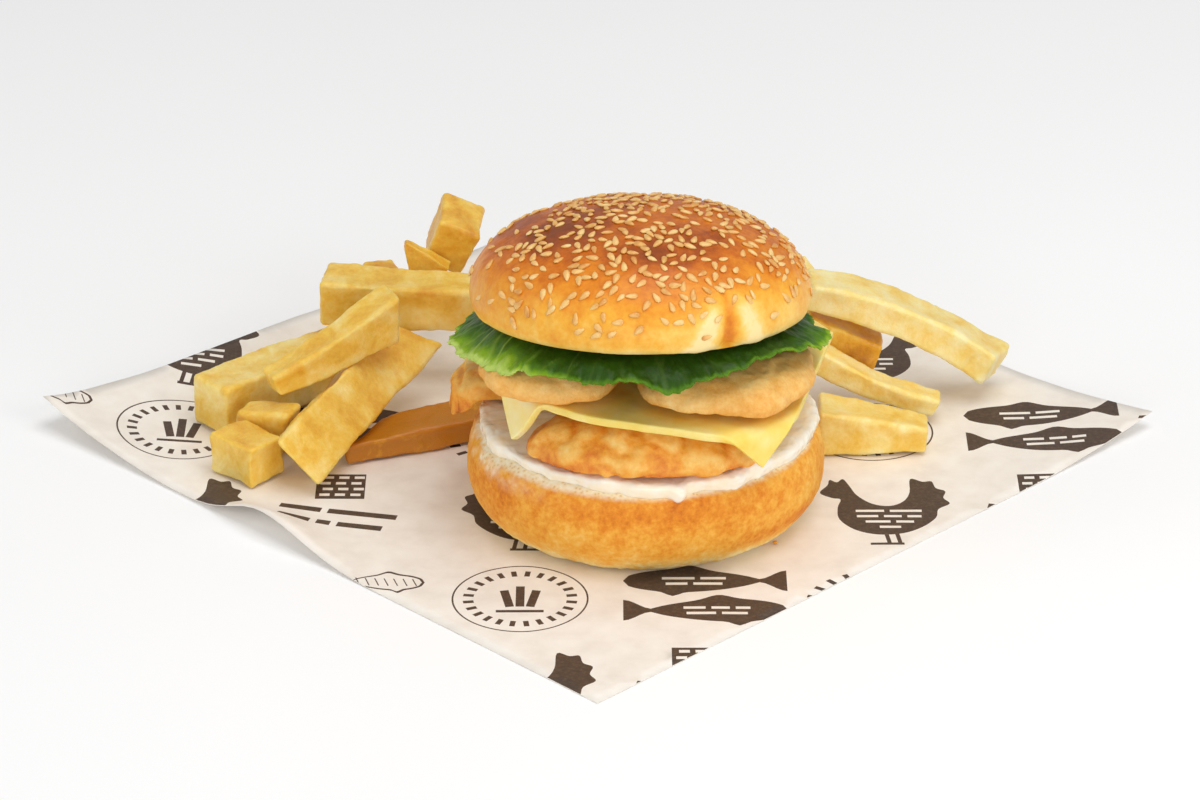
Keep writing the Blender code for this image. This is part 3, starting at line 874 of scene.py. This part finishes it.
def make_heel(crust):
    def shape(r, z, turn):
        x, y = polar(r * heel_grow(turn), turn)
        return x + BURGER_X, y + BURGER_Y, z + SHEET_TOP

    ob = turned("heel_roll", heel_profile(), 360, shape)

    def around(p):
        dx, dy = p.x - BURGER_X, p.y - BURGER_Y
        return math.hypot(dx, dy), p.z - SHEET_TOP, math.atan2(dy, dx)

    def relief(p):
        r, z, _turn = around(p)
        if z < 1.0:
            return 0.0
        torn = ease((z - 22.0) / 3.0) * ease((r - 40.0) / 3.0)
        foot = ease(1 - z / 7.0)
        return (0.22 * mottle(p, 9.0) + 0.07 * mottle(p, 1.8, 3.0)
                + 0.35 * torn * mottle(p, 3.2, 7.0) + 0.5 * foot * mottle(p, 2.4, 5.0))

    swell(ob, relief)

    def bake(p):
        _r, z, turn = around(p)
        front = towards(turn, -88, 0.75)
        right = towards(turn, -35, 0.35)
        level = 0.42 + 0.05 * mottle(p, 11.0, 2.0)
        level += 0.22 * front * bell(z - 21.0, 4.5)
        level += 0.16 * towards(turn, -150, 0.3) * bell(z - 17, 7)
        level += 0.22 * right * bell(z - 9.5, 3.5)
        level -= 0.42 * ease(1 - (z - 1.0) / 8.5) * (1 + 0.5 * mottle(p, 4.0, 8.0))
        return clamp01(level)

    def crumb(p):
        _r, z, turn = around(p)
        rim = ease((z - 24.6) / 1.2)
        left = towards(turn, -160, 0.42) * ease((z - 19.0) / 5.0)
        return clamp01(rim + 0.8 * left * (0.5 + mottle(p, 4.0, 9.0)))

    mark(ob, "bake", bake)
    mark(ob, "crumb", crumb)
    settle(ob, crust, "bun_crust", "bun_heel")


CROWN_PLACE = (Matrix.Translation((CROWN_X, CROWN_Y, CROWN_Z + SHEET_TOP))
               @ Matrix.Rotation(math.radians(CROWN_TILT_DEG), 4, "X"))
CROWN_LOCAL = CROWN_PLACE.inverted()

# where the glaze baked darker, in the crown's own plan: x, y, reach and strength
DARK_PATCHES = ((-23, -13, 12, 0.30), (-12, -6, 13, 0.22), (2, -31, 6, 0.26),
                (8, -28, 6, 0.24), (15, -24, 6, 0.2), (17, -17, 7, 0.16),
                (-34, 6, 14, 0.22), (6, 22, 16, 0.25), (30, 18, 12, 0.2))


def crown_profile():
    """Dome from its top down to the widest belt, then in to the cut rim."""
    points = [(0.0, CROWN_HEIGHT)]
    for k in range(1, 81):
        angle = k / 80 * math.pi / 2
        r = CROWN_RADIUS * math.sin(angle) ** 0.98
        z = CROWN_WIDEST_Z + (CROWN_HEIGHT - CROWN_WIDEST_Z) * math.cos(angle) ** 0.92
        points.append((r, z))
    for k in range(1, 13):
        angle = k / 12 * math.pi / 2
        r = CROWN_CUT_RADIUS + (CROWN_RADIUS - CROWN_CUT_RADIUS) * math.cos(angle) ** 0.8
        points.append((r, CROWN_WIDEST_Z * (1 - math.sin(angle))))
    points += [(CROWN_CUT_RADIUS * (1 - k / 16), 0.0) for k in range(1, 17)]
    return points


def crease(turn, z):
    """How far into the crease, and along its pulled flanks, a place on the crust is."""
    away = turn_gap(turn, CREASE_TURN)
    low = ease(1 - (z - 2.0) / 16.0)
    groove = bell(away, 0.035 + 0.02 * clamp01(1 - z / 14)) * low
    flank = bell(away - 0.05 - 0.16 * clamp01(1 - z / 17), 0.075) * ease(1 - (z - 8) / 12)
    return groove, flank


def make_crown(crust, sesame):
    def shape(r, z, turn):
        grow = 1 + 0.008 * math.sin(2 * turn + 1.9) + 0.005 * math.sin(3 * turn)
        return CROWN_PLACE @ Vector((*polar(r * grow, turn), z))

    ob = turned("crown_crust", crown_profile(), 400, shape)

    def local(p):
        q = CROWN_LOCAL @ p
        return q, math.atan2(q.y, q.x)

    def relief(p):
        q, turn = local(p)
        if q.z < 0.3:
            return 0.0
        groove, flank = crease(turn, q.z)
        dent = towards(turn, -124, 0.03) * bell(q.z - 11.5, 4.5)
        low = ease(1 - (q.z - 6) / 20)
        return (0.35 * mottle(q, 17.0) + 0.1 * mottle(q, 5.0, 2.0)
                + 0.12 * low * mottle((q.x * 2.4, q.y * 2.4, q.z), 7.0, 4.0)
                - 1.5 * groove + 0.45 * flank - 0.5 * dent)

    swell(ob, relief)

    def bake(p):
        q, turn = local(p)
        groove, flank = crease(turn, q.z)
        level = 0.33 + 0.31 * ease((q.z - 5) / 20) + 0.07 * mottle(q, 12.0, 6.0)
        for x, y, reach, strength in DARK_PATCHES:
            away = math.hypot((q.x - x) * 0.8, q.y - y)
            level += 0.62 * strength * bell(away, reach) * (1 + 0.5 * mottle(q, 6.0, 1.0))
        # painted highlight: paler low on the right flank, where light from the right falls
        painted_highlight_right = towards(turn, -42, 0.62) * ease(1 - (q.z - 5) / 15)
        level -= 0.1 * painted_highlight_right
        level -= 0.3 * flank
        # painted shade: darker down in the crease
        level += 0.34 * groove
        level -= 0.18 * ease(1 - q.z / 3.0)
        return clamp01(level)

    def sprinkle(p):
        """How thickly seeds fell: dense on top and to the right, sparse low in front."""
        q, turn = local(p)
        right = towards(turn, -25, 0.75)
        left = towards(turn, -112, 0.6)
        dense = ease((q.z - 11.0 + 6.0 * right + 6.5 * left) / 10.0)
        sparse = (0.28 + 0.72 * left) * ease((q.z - 3.5) / 4.0)
        gap = 1 - 0.75 * bell(math.hypot(q.x + 34, q.y + 2), 10)
        return clamp01(max(dense, sparse) * gap)

    mark(ob, "bake", bake)
    mark(ob, "sprinkle", sprinkle)
    settle(ob, crust, "bun_crust", "bun_crown")
    make_seeds(ob, sesame)


def seed_tree(sesame):
    """Scatter flat drop-shaped seeds over a crust, as thickly as its sprinkle says."""
    tree = bpy.data.node_groups.new("sesame_sprinkle", "GeometryNodeTree")
    face = tree.interface
    sockets = {}
    face.new_socket(name="Geometry", in_out="OUTPUT", socket_type="NodeSocketGeometry")
    face.new_socket(name="Geometry", in_out="INPUT", socket_type="NodeSocketGeometry")
    for name, kind in (("Seed length", "Float"), ("Seed width", "Float"),
                       ("Seed thickness", "Float"), ("Closest", "Float"),
                       ("Most per square metre", "Float"), ("Draw", "Int")):
        made = face.new_socket(name=name, in_out="INPUT", socket_type="NodeSocket" + kind)
        sockets[name] = made.identifier
    given = add(tree, "NodeGroupInput").outputs
    thick = add(tree, "GeometryNodeInputNamedAttribute", {"Name": "sprinkle"},
                data_type="FLOAT")
    spots = add(tree, "GeometryNodeDistributePointsOnFaces", {
        "Mesh": given["Geometry"], "Distance Min": given["Closest"],
        "Density Max": given["Most per square metre"],
        "Density Factor": thick.outputs[0], "Seed": given["Draw"]},
        distribute_method="POISSON")
    ball = add(tree, "GeometryNodeMeshUVSphere", {
        "Segments": 9, "Rings": 6, "Radius": 0.5})
    place = add(tree, "GeometryNodeInputPosition")
    axes = add(tree, "ShaderNodeSeparateXYZ", {0: place.outputs[0]})
    along, across, up = axes.outputs
    taper = maths(tree, "MULTIPLY_ADD", along, -0.85, 0.85)
    wide = maths(tree, "MULTIPLY", maths(tree, "MULTIPLY", across, taper),
                 given["Seed width"])
    long = maths(tree, "MULTIPLY", along, given["Seed length"])
    flat = maths(tree, "MULTIPLY", up, given["Seed thickness"])
    sunk = maths(tree, "MULTIPLY_ADD", given["Seed thickness"], 0.22, flat)
    drop = add(tree, "ShaderNodeCombineXYZ", {0: long, 1: wide, 2: sunk})
    seed = add(tree, "GeometryNodeSetPosition", {
        "Geometry": ball.outputs["Mesh"], "Position": drop.outputs[0]})
    smooth = add(tree, "GeometryNodeSetShadeSmooth", {0: seed.outputs[0]})
    spin = add(tree, "FunctionNodeRandomValue", {
        0: (-0.18, -0.22, -math.pi), 1: (0.18, 0.22, math.pi), "Seed": given["Draw"]},
        data_type="FLOAT_VECTOR")
    turn = add(tree, "FunctionNodeEulerToRotation", {0: spin.outputs[0]})
    lie = add(tree, "FunctionNodeRotateRotation", {
        "Rotation": spots.outputs["Rotation"], "Rotate By": turn.outputs[0]},
        rotation_space="LOCAL")
    scale = add(tree, "FunctionNodeRandomValue", {
        2: 0.84, 3: 1.12, "Seed": given["Draw"]}, data_type="FLOAT")
    strewn = add(tree, "GeometryNodeInstanceOnPoints", {
        "Points": spots.outputs["Points"], "Instance": smooth.outputs[0],
        "Rotation": lie.outputs[0], "Scale": scale.outputs[1]})
    real = add(tree, "GeometryNodeRealizeInstances", {0: strewn.outputs[0]})
    coated = add(tree, "GeometryNodeSetMaterial", {0: real.outputs[0], "Material": sesame})
    add(tree, "NodeGroupOutput", {0: coated.outputs[0]})
    return tree, sockets


def make_seeds(crown, sesame):
    tree, sockets = seed_tree(sesame)
    bed = placed("sesame_seeds", crown.data.copy())
    strew = bed.modifiers.new("sprinkle", "NODES")
    strew.node_group = tree
    sizes = {"Seed length": 3.6 * MM, "Seed width": 2.0 * MM, "Seed thickness": 1.0 * MM,
             "Closest": 2.15 * MM, "Most per square metre": 135000.0, "Draw": 7}
    for name, value in sizes.items():
        strew[sockets[name]] = value
    settle(applied(bed), sesame, "bun_crust")


# ---- the filling -------------------------------------------------------------------
# how far the mayonnaise laps over the heel's cut edge, by direction in degrees
MAYO_LAP = ((-180, 2.6), (-158, 2.8), (-142, 0.9), (-118, 0.5), (-104, 1.7), (-93, 2.6),
            (-84, 3.2), (-79, 4.9), (-75, 2.6), (-66, 2.7), (-58, 4.0), (-51, 2.8),
            (-35, 3.2), (-18, 3.4), (2, 4.8), (25, 2.4), (60, 1.2), (95, 2.6), (130, 1.4))


def heel_rim(reach):
    """Place on the heel's skin that far out and down from where its flat top ends."""
    points = [p for p in heel_profile() if p[0] >= HEEL_FLAT_RADIUS - 0.01 and p[1] > 14]
    for (r0, z0), (r1, z1) in zip(points, points[1:]):
        step = math.hypot(r1 - r0, z1 - z0)
        if reach <= step:
            share = reach / step
            return r0 + (r1 - r0) * share, z0 + (z1 - z0) * share
        reach -= step
    return points[-1]


def make_mayonnaise(sauce):
    spokes = 420
    levels = 34
    under_gap = 0.25

    def column(turn):
        """Outline of the layer in that direction, from its top middle to its underside."""
        lap = max(0.3, between(MAYO_LAP, turn)[0] + 0.25 * math.sin(11 * turn)
                  + 0.2 * math.sin(23 * turn + 1.0))
        grow = heel_grow(turn)
        rim_r, rim_z = heel_rim(lap)
        crest = HEEL_HEIGHT + 3.2 + 0.35 * math.sin(6 * turn) + 0.25 * math.sin(13 * turn)
        shoulder = HEEL_FLAT_RADIUS - 1.5 + 0.35 * lap
        outline = []
        for k in range(levels + 1):
            t = k / levels
            if t < 0.45:
                r = shoulder * t / 0.45
                z = HEEL_HEIGHT + 2.6 + (crest - HEEL_HEIGHT - 2.6) * ease((t - 0.3) / 0.15)
            else:
                angle = (t - 0.45) / 0.55 * math.pi / 2
                bulge = 0.9 * math.sin(2 * angle)
                r = shoulder + (rim_r - shoulder) * math.sin(angle) ** 0.8 + bulge
                z = rim_z + (crest - rim_z) * math.cos(angle) ** 0.8 + 0.3 * bulge
            outline.append((r * grow, z))
        inner_r, inner_z = heel_rim(lap * 0.4)
        return outline + [((rim_r - under_gap) * grow, rim_z - 0.1),
                          ((inner_r - under_gap) * grow, inner_z - under_gap),
                          (HEEL_FLAT_RADIUS * 0.8, HEEL_HEIGHT - under_gap),
                          (0.0, HEEL_HEIGHT - under_gap)]

    columns = [column(2 * math.pi * s / spokes) for s in range(spokes)]
    count = len(columns[0])
    verts = [(BURGER_X, BURGER_Y, columns[0][0][1] + SHEET_TOP)]
    for level in range(1, count - 1):
        for s in range(spokes):
            turn = 2 * math.pi * s / spokes
            r, z = columns[s][level]
            x, y = polar(r, turn)
            verts.append((BURGER_X + x, BURGER_Y + y, z + SHEET_TOP))
    verts.append((BURGER_X, BURGER_Y, columns[0][-1][1] + SHEET_TOP))
    ob = facing_out(mesh_object("mayonnaise_layer", verts, ring_faces(count - 2, spokes)))
    swell(ob, lambda p: (0.45 * mottle(p, 6.0) + 0.18 * mottle(p, 2.5, 4.0))
          if p.z > HEEL_HEIGHT + SHEET_TOP - 3.5 else 0.0)
    settle(ob, sauce, "mayonnaise", "mayonnaise")


def signed_power(t, power):
    return math.copysign(abs(t) ** power, t)


def make_fillet(node, spec, coats):
    rows, spokes = 90, 170
    hx, hy = spec["half"]
    turn = Matrix.Rotation(math.radians(spec["turn"]), 3, "Z")
    roll = Matrix.Rotation(math.radians(spec["roll"]), 3, "Y")
    start = spec["lump"]
    middle = Vector(spec["centre"]) + Vector((0, 0, SHEET_TOP))

    def shape(_r, level, angle):
        """level is the polar angle from the top; every point of a lumpy slab."""
        x = math.sin(level) * math.cos(angle)
        y = math.sin(level) * math.sin(angle)
        z = math.cos(level)
        flat = Vector((signed_power(x, spec["plan"]), signed_power(y, spec["plan"]), 0))
        lump = (1 + 0.03 * math.sin(5.1 * x + start * 3.0) * math.cos(4.3 * y + start)
                - 0.02 * (1 + math.sin(7.0 * x + 3.0 * y + start)))
        if z > 0:
            height = spec["up"] * z ** 0.9 * (1 - spec["rise"] * flat.y)
            height *= 1 - spec["fall"] * clamp01(-flat.x)
        else:
            height = -spec["down"] * abs(z) ** 0.5
        p = Vector((hx * flat.x * lump, hy * flat.y * lump, height))
        inner = spec["inner"]
        p.x += inner * clamp01(-flat.y) * clamp01(math.copysign(1.0, inner) * flat.x)
        p.y -= spec["swing"] * ease((-26.0 - p.x) / 16.0)
        p.z -= spec["hang"] * ease((-38.0 - p.x) / 12.0) * (1.0 if z < 0 else 0.2)
        return turn @ roll @ p + middle

    profile = [(0.0, math.pi * k / rows) for k in range(rows + 1)]
    ob = facing_out(turned("coated_" + node, profile, spokes, shape))
    cell, groove = spec["cell"], spec["groove"]

    def relief(p):
        return (groove * (cells(p, cell, start) - 0.75) + 0.3 * mottle(p, 5.0, start)
                + 0.12 * mottle(p, 1.7, start + 2))

    lift = {v.index: cells(v.co / MM, cell, start) for v in ob.data.vertices}
    swell(ob, relief)
    low_z = min(v.co.z for v in ob.data.vertices) / MM
    high_z = max(v.co.z for v in ob.data.vertices) / MM
    base, fold_shade, foot = COAT_BROWN_AND_SHADE[spec["coat"]]
    brown_and_shade = []
    for v in ob.data.vertices:
        p = v.co / MM
        height = (p.z - low_z) / (high_z - low_z)
        # painted shade: darker down in the folds between lumps and towards the foot, which
        # sits in shade
        level = base + fold_shade * (1 - lift[v.index]) ** 2 + foot * ease(1 - height / 0.45)
        level += 0.16 * mottle(p, 7.0, start + 5)
        brown_and_shade.append(clamp01(level))
    keep(ob.data, "brown_and_shade", brown_and_shade)
    settle(ob, coats[spec["coat"]], "battered_chicken", node)


def bend_down(out, steep):
    """Reach in plan and drop of a slice that runs that far past where it bends."""
    angle = min(out / CHEESE_BEND, math.radians(steep))
    rest = out - angle * CHEESE_BEND
    reach = CHEESE_BEND * math.sin(angle) + rest * math.cos(angle)
    return reach, CHEESE_BEND * (1 - math.cos(angle)) + rest * math.sin(angle)


def drape(u, v):
    """Place of the slice's top for -1..1 along its front and side edges."""
    half = CHEESE_SIDE / 2
    x, y = half * u, half * v
    z = CHEESE_Z - CHEESE_SLOPE * u - CHEESE_BACK_FALL * ease(2 * v - 1)
    # the front edge is drawn in a little left of its middle
    y += 4.0 * math.exp(-((x + 25.0) / 9.0) ** 2) * clamp01(-v) ** 4
    for (a, b), (start, steep) in CHEESE_CORNERS.items():
        out = (a * x + b * y) / math.sqrt(2) - start
        if out > 0:
            reach, drop = bend_down(out, steep)
            x -= a * (out - reach) / math.sqrt(2)
            y -= b * (out - reach) / math.sqrt(2)
            z -= drop
    angle = math.radians(CHEESE_TURN_DEG)
    return (CHEESE_X + x * math.cos(angle) - y * math.sin(angle),
            CHEESE_Y + x * math.sin(angle) + y * math.cos(angle), z)


def make_cheese(cheese):
    cuts = 84
    verts, faces = [], []
    for j in range(cuts + 1):
        for i in range(cuts + 1):
            x, y, z = drape(2 * i / cuts - 1, 2 * j / cuts - 1)
            verts.append((x, y, z + SHEET_TOP + 0.25 * mottle((x, y, 0), 13.0)))
    for j in range(cuts):
        for i in range(cuts):
            a = j * (cuts + 1) + i
            faces.append((a, a + 1, a + cuts + 2, a + cuts + 1))
    # painted highlight: paler towards the slice's front left, where the light falls
    painted_highlight = [0.45 * ease((34.0 - x - 0.3 * (y + 70)) / 40 - 0.9) for x, y, _z in verts]
    ob = mesh_object("draped_cheese", verts, faces, {"painted_highlight": painted_highlight})
    thickened(ob, CHEESE_THICK, even=True)
    soft = ob.modifiers.new("soft edges", "BEVEL")
    soft.width = 0.45 * MM
    soft.segments = 3
    soft.limit_method = "ANGLE"
    soft.angle_limit = math.radians(50)
    settle(facing_out(applied(ob)), cheese, "cheese", "cheese_slice")


# the leaf's edge by direction in degrees: reach from the crown's middle, and how far the
# edge drops below the plane that the crown rests on
LEAF_EDGE = ((-180, 53.5, 10.0), (-171, 51.5, 10.6), (-155, 49.5, 10.2), (-142, 49.3, 9.8),
             (-131, 49.2, 8.9), (-121, 49.2, 6.7), (-113, 49.2, 7.5), (-104, 49, 7.8),
             (-95, 49, 7.6), (-89, 49.2, 8.8), (-80, 49.4, 10.0), (-72, 49.3, 9.8),
             (-63, 49, 7.9), (-57, 48.8, 5.2), (-51, 48.8, 3.6), (-39, 49, 5.0),
             (-26, 50.5, 5.8), (-15, 51.8, 7.4), (-4, 53.2, 7.6), (10, 50.5, 8.0),
             (40, 48.5, 5.0), (75, 49.5, 7.0), (110, 48.5, 4.5), (150, 50.5, 7.0))


def leaf_vein(x, y):
    """1 on a vein, 0 off it: side veins leave a midrib and fork towards the edge."""
    rib_x, rib_y = -13.0, -46.0            # where the midrib crosses the leaf's edge
    across = x * math.cos(0.35) + y * math.sin(0.35) + 3.0
    best = 0.9 * bell(across + 7.0, 0.8) * ease(1 - (y - rib_y - 24) / 12)
    r, turn = math.hypot(x - rib_x * 0.2, y - rib_y * 0.1), math.atan2(y, x)
    for count, wander, start, weight in ((13, 0.75, 24, 0.8), (31, 1.2, 34, 0.4)):
        phase = count * turn + wander * 9 * noise.noise((x / 22, y / 22, count))
        off = abs(math.sin(phase / 2)) * 2 * r / count
        best = max(best, weight * bell(off, 0.42) * ease((r - start) / 6))
    return clamp01(best)


def make_lettuce(leaf):
    rings, spokes = 46, 720
    tilt = math.tan(math.radians(CROWN_TILT_DEG))
    verts, marks = [], {"leaf_tone_and_shade": [], "vein": []}
    for ring in range(rings + 1):
        share = (ring / rings) ** 0.7
        for s in range(spokes if ring else 1):
            turn = 2 * math.pi * s / spokes
            reach, drop = between(LEAF_EDGE, turn)
            rim = Vector((*polar(LEAF_MEAN_REACH, turn), 0))
            teeth = 0.8 * mottle(rim, 2.6, 5.0) + 0.5 * mottle(rim, 1.1, 2.0)
            reach += teeth * ease((share - 0.93) / 0.07) - 0.2
            r = share * reach
            x, y = polar(r, turn)
            out = clamp01((r - LEAF_FLAT_RADIUS) / (reach - LEAF_FLAT_RADIUS))
            ruffle = (1.2 * mottle(rim, 12.0, 3.0) + 0.35 * mottle(rim, 4.5, 8.0)
                      + 1.3 * mottle((x, y, 0), 8.0, 6.0)
                      + 0.6 * mottle((x, y, 0), 3.6, 1.0)) * out ** 1.2
            front_left = towards(turn, -112, 0.5)
            right = towards(turn, -55, 0.9)
            vein = leaf_vein(x, y)
            z = (CROWN_Z - 0.9 + tilt * y - drop * out ** 1.35 + ruffle
                 + (0.5 + 1.6 * right + 0.9 * front_left) * out
                 + 0.12 * vein * out + 0.25 * out * mottle((x, y, 0), 3.4))
            verts.append((x + CROWN_X, y + CROWN_Y, z + SHEET_TOP))
            left = towards(turn, -160, 0.6)
            tip = towards(turn, -8, 0.35)
            # deep green towards the middle is partly the leaf's own colour and partly
            # painted shade under the crown; lighter to the left, at the tip and on the rim
            leaf_tone_and_shade = 0.04 + 0.18 * out ** 2 + 0.7 * left * out + 0.34 * tip * out
            leaf_tone_and_shade += 0.3 * ease((share - 0.965) / 0.035)
            leaf_tone_and_shade += 0.25 * towards(turn, -141, 0.12) * bell(
                out - 0.75, 0.3)
            marks["leaf_tone_and_shade"].append(clamp01(leaf_tone_and_shade))
            marks["vein"].append(vein * (0.06 + 0.74 * left))
    ob = mesh_object("cos_leaf", verts, ring_faces(rings, spokes, closed=False), marks)
    settle(applied(thickened(ob, LEAF_THICK)), leaf, "lettuce_leaf", "lettuce")


# ---- the chips -----------------------------------------------------------------------
def section(width, height, corner):
    """A rounded rectangle, and how near each of its points is to a corner."""
    side_cuts, corner_cuts = 7, 5
    hw, hh = width / 2 - corner, height / 2 - corner
    points, near = [], []
    for k, (i, j) in enumerate(((1, 1), (-1, 1), (-1, -1), (1, -1))):
        for q in range(corner_cuts + 1):
            angle = math.pi / 2 * (k + q / corner_cuts)
            points.append((i * hw + corner * math.cos(angle),
                           j * hh + corner * math.sin(angle)))
            near.append(1.0)
        ni, nj = ((-1, 1), (-1, -1), (1, -1), (1, 1))[k]
        ax, ay = points[-1]
        end = math.pi / 2 * (k + 1)
        bx = ni * hw + corner * math.cos(end)
        by = nj * hh + corner * math.sin(end)
        for q in range(1, side_cuts):
            t = q / side_cuts
            points.append((ax + (bx - ax) * t, ay + (by - ay) * t))
            near.append(abs(2 * t - 1) ** 2)
    return points, near


def make_chip(node, spec, potato, seed):
    lift = Vector((0, 0, SHEET_TOP))
    a, b = Vector(spec["a"]) + lift, Vector(spec["b"]) + lift
    along = (b - a).normalized()
    length = (b - a).length
    up0 = (Vector((0, 0, 1)) - along * along.z).normalized()
    side0 = along.cross(up0)
    roll = math.radians(spec.get("roll", 0))
    side = math.cos(roll) * side0 + math.sin(roll) * up0
    up = math.cos(roll) * up0 - math.sin(roll) * side0
    bow = spec.get("bow", 0.0)
    (wa, ha), (wb, hb) = spec["size_a"], spec["size_b"]
    edge = min(1.2, 0.42 * min(wa, ha, wb, hb)) if "edge" not in spec else spec["edge"]
    stations = []
    for q in range(6):
        angle = q / 5 * math.pi / 2
        stations.append((edge * (1 - math.cos(angle)), edge * (1 - math.sin(angle))))
    steps = max(8, int((length - 2 * edge) / 1.1))
    for q in range(1, steps):
        stations.append((edge + (length - 2 * edge) * q / steps, 0.0))
    stations += [(length - s, inset) for s, inset in stations[5::-1]]
    verts, nearness = [], []
    for s, inset in stations:
        t = s / length
        middle = a.lerp(b, t) + Vector((0, 0, bow * 4 * t * (1 - t)))
        w, h = wa + (wb - wa) * t, ha + (hb - ha) * t
        start, end = clamp01(1 - t / 0.2), clamp01((t - 0.8) / 0.2)
        skew = start * spec.get("skew_a", 0) + end * spec.get("skew_b", 0)
        under = start * spec.get("under_a", 0) + end * spec.get("under_b", 0)
        corner = max(0.25, min(edge, 0.45 * h) - 0.6 * inset)
        outline, near = section(w - 2 * inset, h - 2 * inset, corner)
        for (x, y), close in zip(outline, near):
            shift = along * (x / (w / 2) * skew + y / (h / 2) * under) / 2
            sink = 1 - 0.045 * (1 - close)
            verts.append(middle + side * x * sink + up * y * sink + shift)
            nearness.append(max(close, clamp01(inset / edge)))
    count = len(section(4, 4, 1)[0])
    faces = []
    for k in range(len(stations) - 1):
        for j in range(count):
            p, q = k * count + j, k * count + (j + 1) % count
            faces.append((p, q, q + count, p + count))
    for base in (0, (len(stations) - 1) * count):
        hub = len(verts)
        ring = verts[base:base + count]
        middle = sum(ring, Vector()) / count
        inner = [len(verts) + 1 + j for j in range(count)]
        verts.append(middle)
        nearness.append(0.1)
        for p in ring:
            verts.append(p.lerp(middle, 0.45))
            nearness.append(0.3)
        for j in range(count):
            j2 = (j + 1) % count
            faces.append((base + j, base + j2, inner[j2], inner[j]))
            faces.append((inner[j], inner[j2], hub))
    ob = facing_out(mesh_object("fried_" + node, verts, faces))

    def relief(p):
        return (0.6 * mottle(p, 19.0, seed) + 0.26 * mottle(p, 5.5, seed + 3)
                + 0.13 * mottle(p, 1.9, seed + 5))

    fry_and_shade = []
    for v, close in zip(ob.data.vertices, nearness):
        # a chip's fry level: how deeply fried, with painted shade added on chips that lie in
        # shade
        level = spec["fry_and_shade"] - 0.05 * close + 0.16 * mottle(v.co / MM, 14.0, seed + 8)
        fry_and_shade.append(clamp01(level + 0.08))
    keep(ob.data, "fry_and_shade", fry_and_shade)
    swell(ob, relief)
    settle(ob, potato, "fried_potato", node)


def make_crumbs(batter):
    """A crumb of batter and a speck fallen on the sheet, and two specks on the mayonnaise.
    """
    verts, faces, brown_and_shade = [], [], []
    for x, y, z, size in ((45.7, -72.2, 0.8, 1.7), (49.4, -72.9, 0.6, 0.7),
                          (50.1, -58.4, 30.6, 0.8), (50.8, -63.6, 30.3, 0.7)):
        bm = bmesh.new()
        bmesh.ops.create_icosphere(bm, subdivisions=3, radius=size)
        start = len(verts)
        for v in bm.verts:
            p = v.co * (1 + 0.35 * mottle(v.co, 0.8 * size, x))
            verts.append((p.x + x, p.y + y, max(0.65 * p.z, -0.3) + z + SHEET_TOP))
            brown_and_shade.append(0.45)
        faces += [tuple(start + v.index for v in face.verts) for face in bm.faces]
        bm.free()
    ob = facing_out(mesh_object("fallen_crumbs", verts, faces, {"brown_and_shade": brown_and_shade}))
    settle(ob, batter, "battered_chicken")


# ---- stage ---------------------------------------------------------------------------
# area lamps: name, place and the point it faces in metres, width and height, watts
SOFTBOXES = (
    ("overhead", (0.2, -0.15, 1.1), (0, -0.03, 0.02), (0.9, 0.7), 5.2),
    ("left", (-1.0, -0.25, 0.55), (0, -0.03, 0.04), (0.5, 0.6), 1.4),
    ("right_front", (0.9, -0.8, 0.6), (0, -0.03, 0.04), (0.6, 0.6), 3.6),
    ("front", (-0.1, -1.5, 0.32), (0, -0.03, 0.04), (0.9, 0.4), 4.2),
)
SKY_STRENGTH = 0.47
CAMERA_PLACE = (0.0006, -1.3009, 0.6570)       # metres
CAMERA_DOWN_DEG = 26.48                        # how far it looks down
CAMERA_LENS, CAMERA_SENSOR = 150.0, 36.0


def make_stage():
    bpy.ops.mesh.primitive_plane_add(size=6.0)
    floor = bpy.context.active_object
    floor.name = "studio_floor"
    # painted card: almost white and quite matt
    mat, tree, skin, coords = surface("white_card", Roughness=0.9, Specular_IOR_Level=0.1)
    finish(tree, skin, ramp(tree, fractal(tree, coords, 300.0),
                            (0.3, "#fcfcfc"), (0.7, "#ffffff")))
    floor.data.materials.append(mat)
    floor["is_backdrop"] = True

    world = bpy.data.worlds.new("studio")
    bpy.context.scene.world = world
    world.use_nodes = True
    sky = world.node_tree.nodes["Background"]
    sky.inputs["Color"].default_value = (1.0, 1.0, 1.0, 1.0)
    sky.inputs["Strength"].default_value = SKY_STRENGTH

    for name, place, aim, size, power in SOFTBOXES:
        lamp = bpy.data.lights.new(name, "AREA")
        lamp.shape = "RECTANGLE"
        lamp.size, lamp.size_y = size
        lamp.energy = power
        ob = placed(name, lamp)
        ob.location = place
        ob.rotation_euler = (Vector(aim) - Vector(place)).to_track_quat("-Z", "Y").to_euler()


def make_camera():
    lens = bpy.data.cameras.new("camera")
    lens.lens = CAMERA_LENS
    lens.sensor_width = CAMERA_SENSOR
    lens.clip_end = 20.0
    ob = placed("camera", lens)
    ob.location = CAMERA_PLACE
    ob.rotation_euler = (math.radians(90 - CAMERA_DOWN_DEG), 0, 0)
    bpy.context.scene.camera = ob
    bpy.context.scene.view_settings.view_transform = "Standard"
    bpy.context.scene.view_settings.look = "None"


def main():
    make_camera()
    make_stage()
    make_sheet()
    make_heel(soft_roll_crust())
    make_mayonnaise(egg_mayonnaise())
    coats = {"batter": fried_batter(), "crumb": fine_crumb_coat()}
    for node, spec in FILLETS.items():
        make_fillet(node, spec, coats)
    make_cheese(mild_cheese())
    make_lettuce(cos_lettuce())
    make_crown(egg_washed_crust(), toasted_sesame())
    make_crumbs(coats["batter"])
    potato = fried_potato()
    for number, (node, spec) in enumerate(CHIPS.items()):
        make_chip(node, spec, potato, 10.0 + 7.3 * number)


main()
boxes = {"cad": CAD_BOX, "visual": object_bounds()}
({name: [[float(c) for c in corner] for corner in box]
           for name, box in boxes.items()})
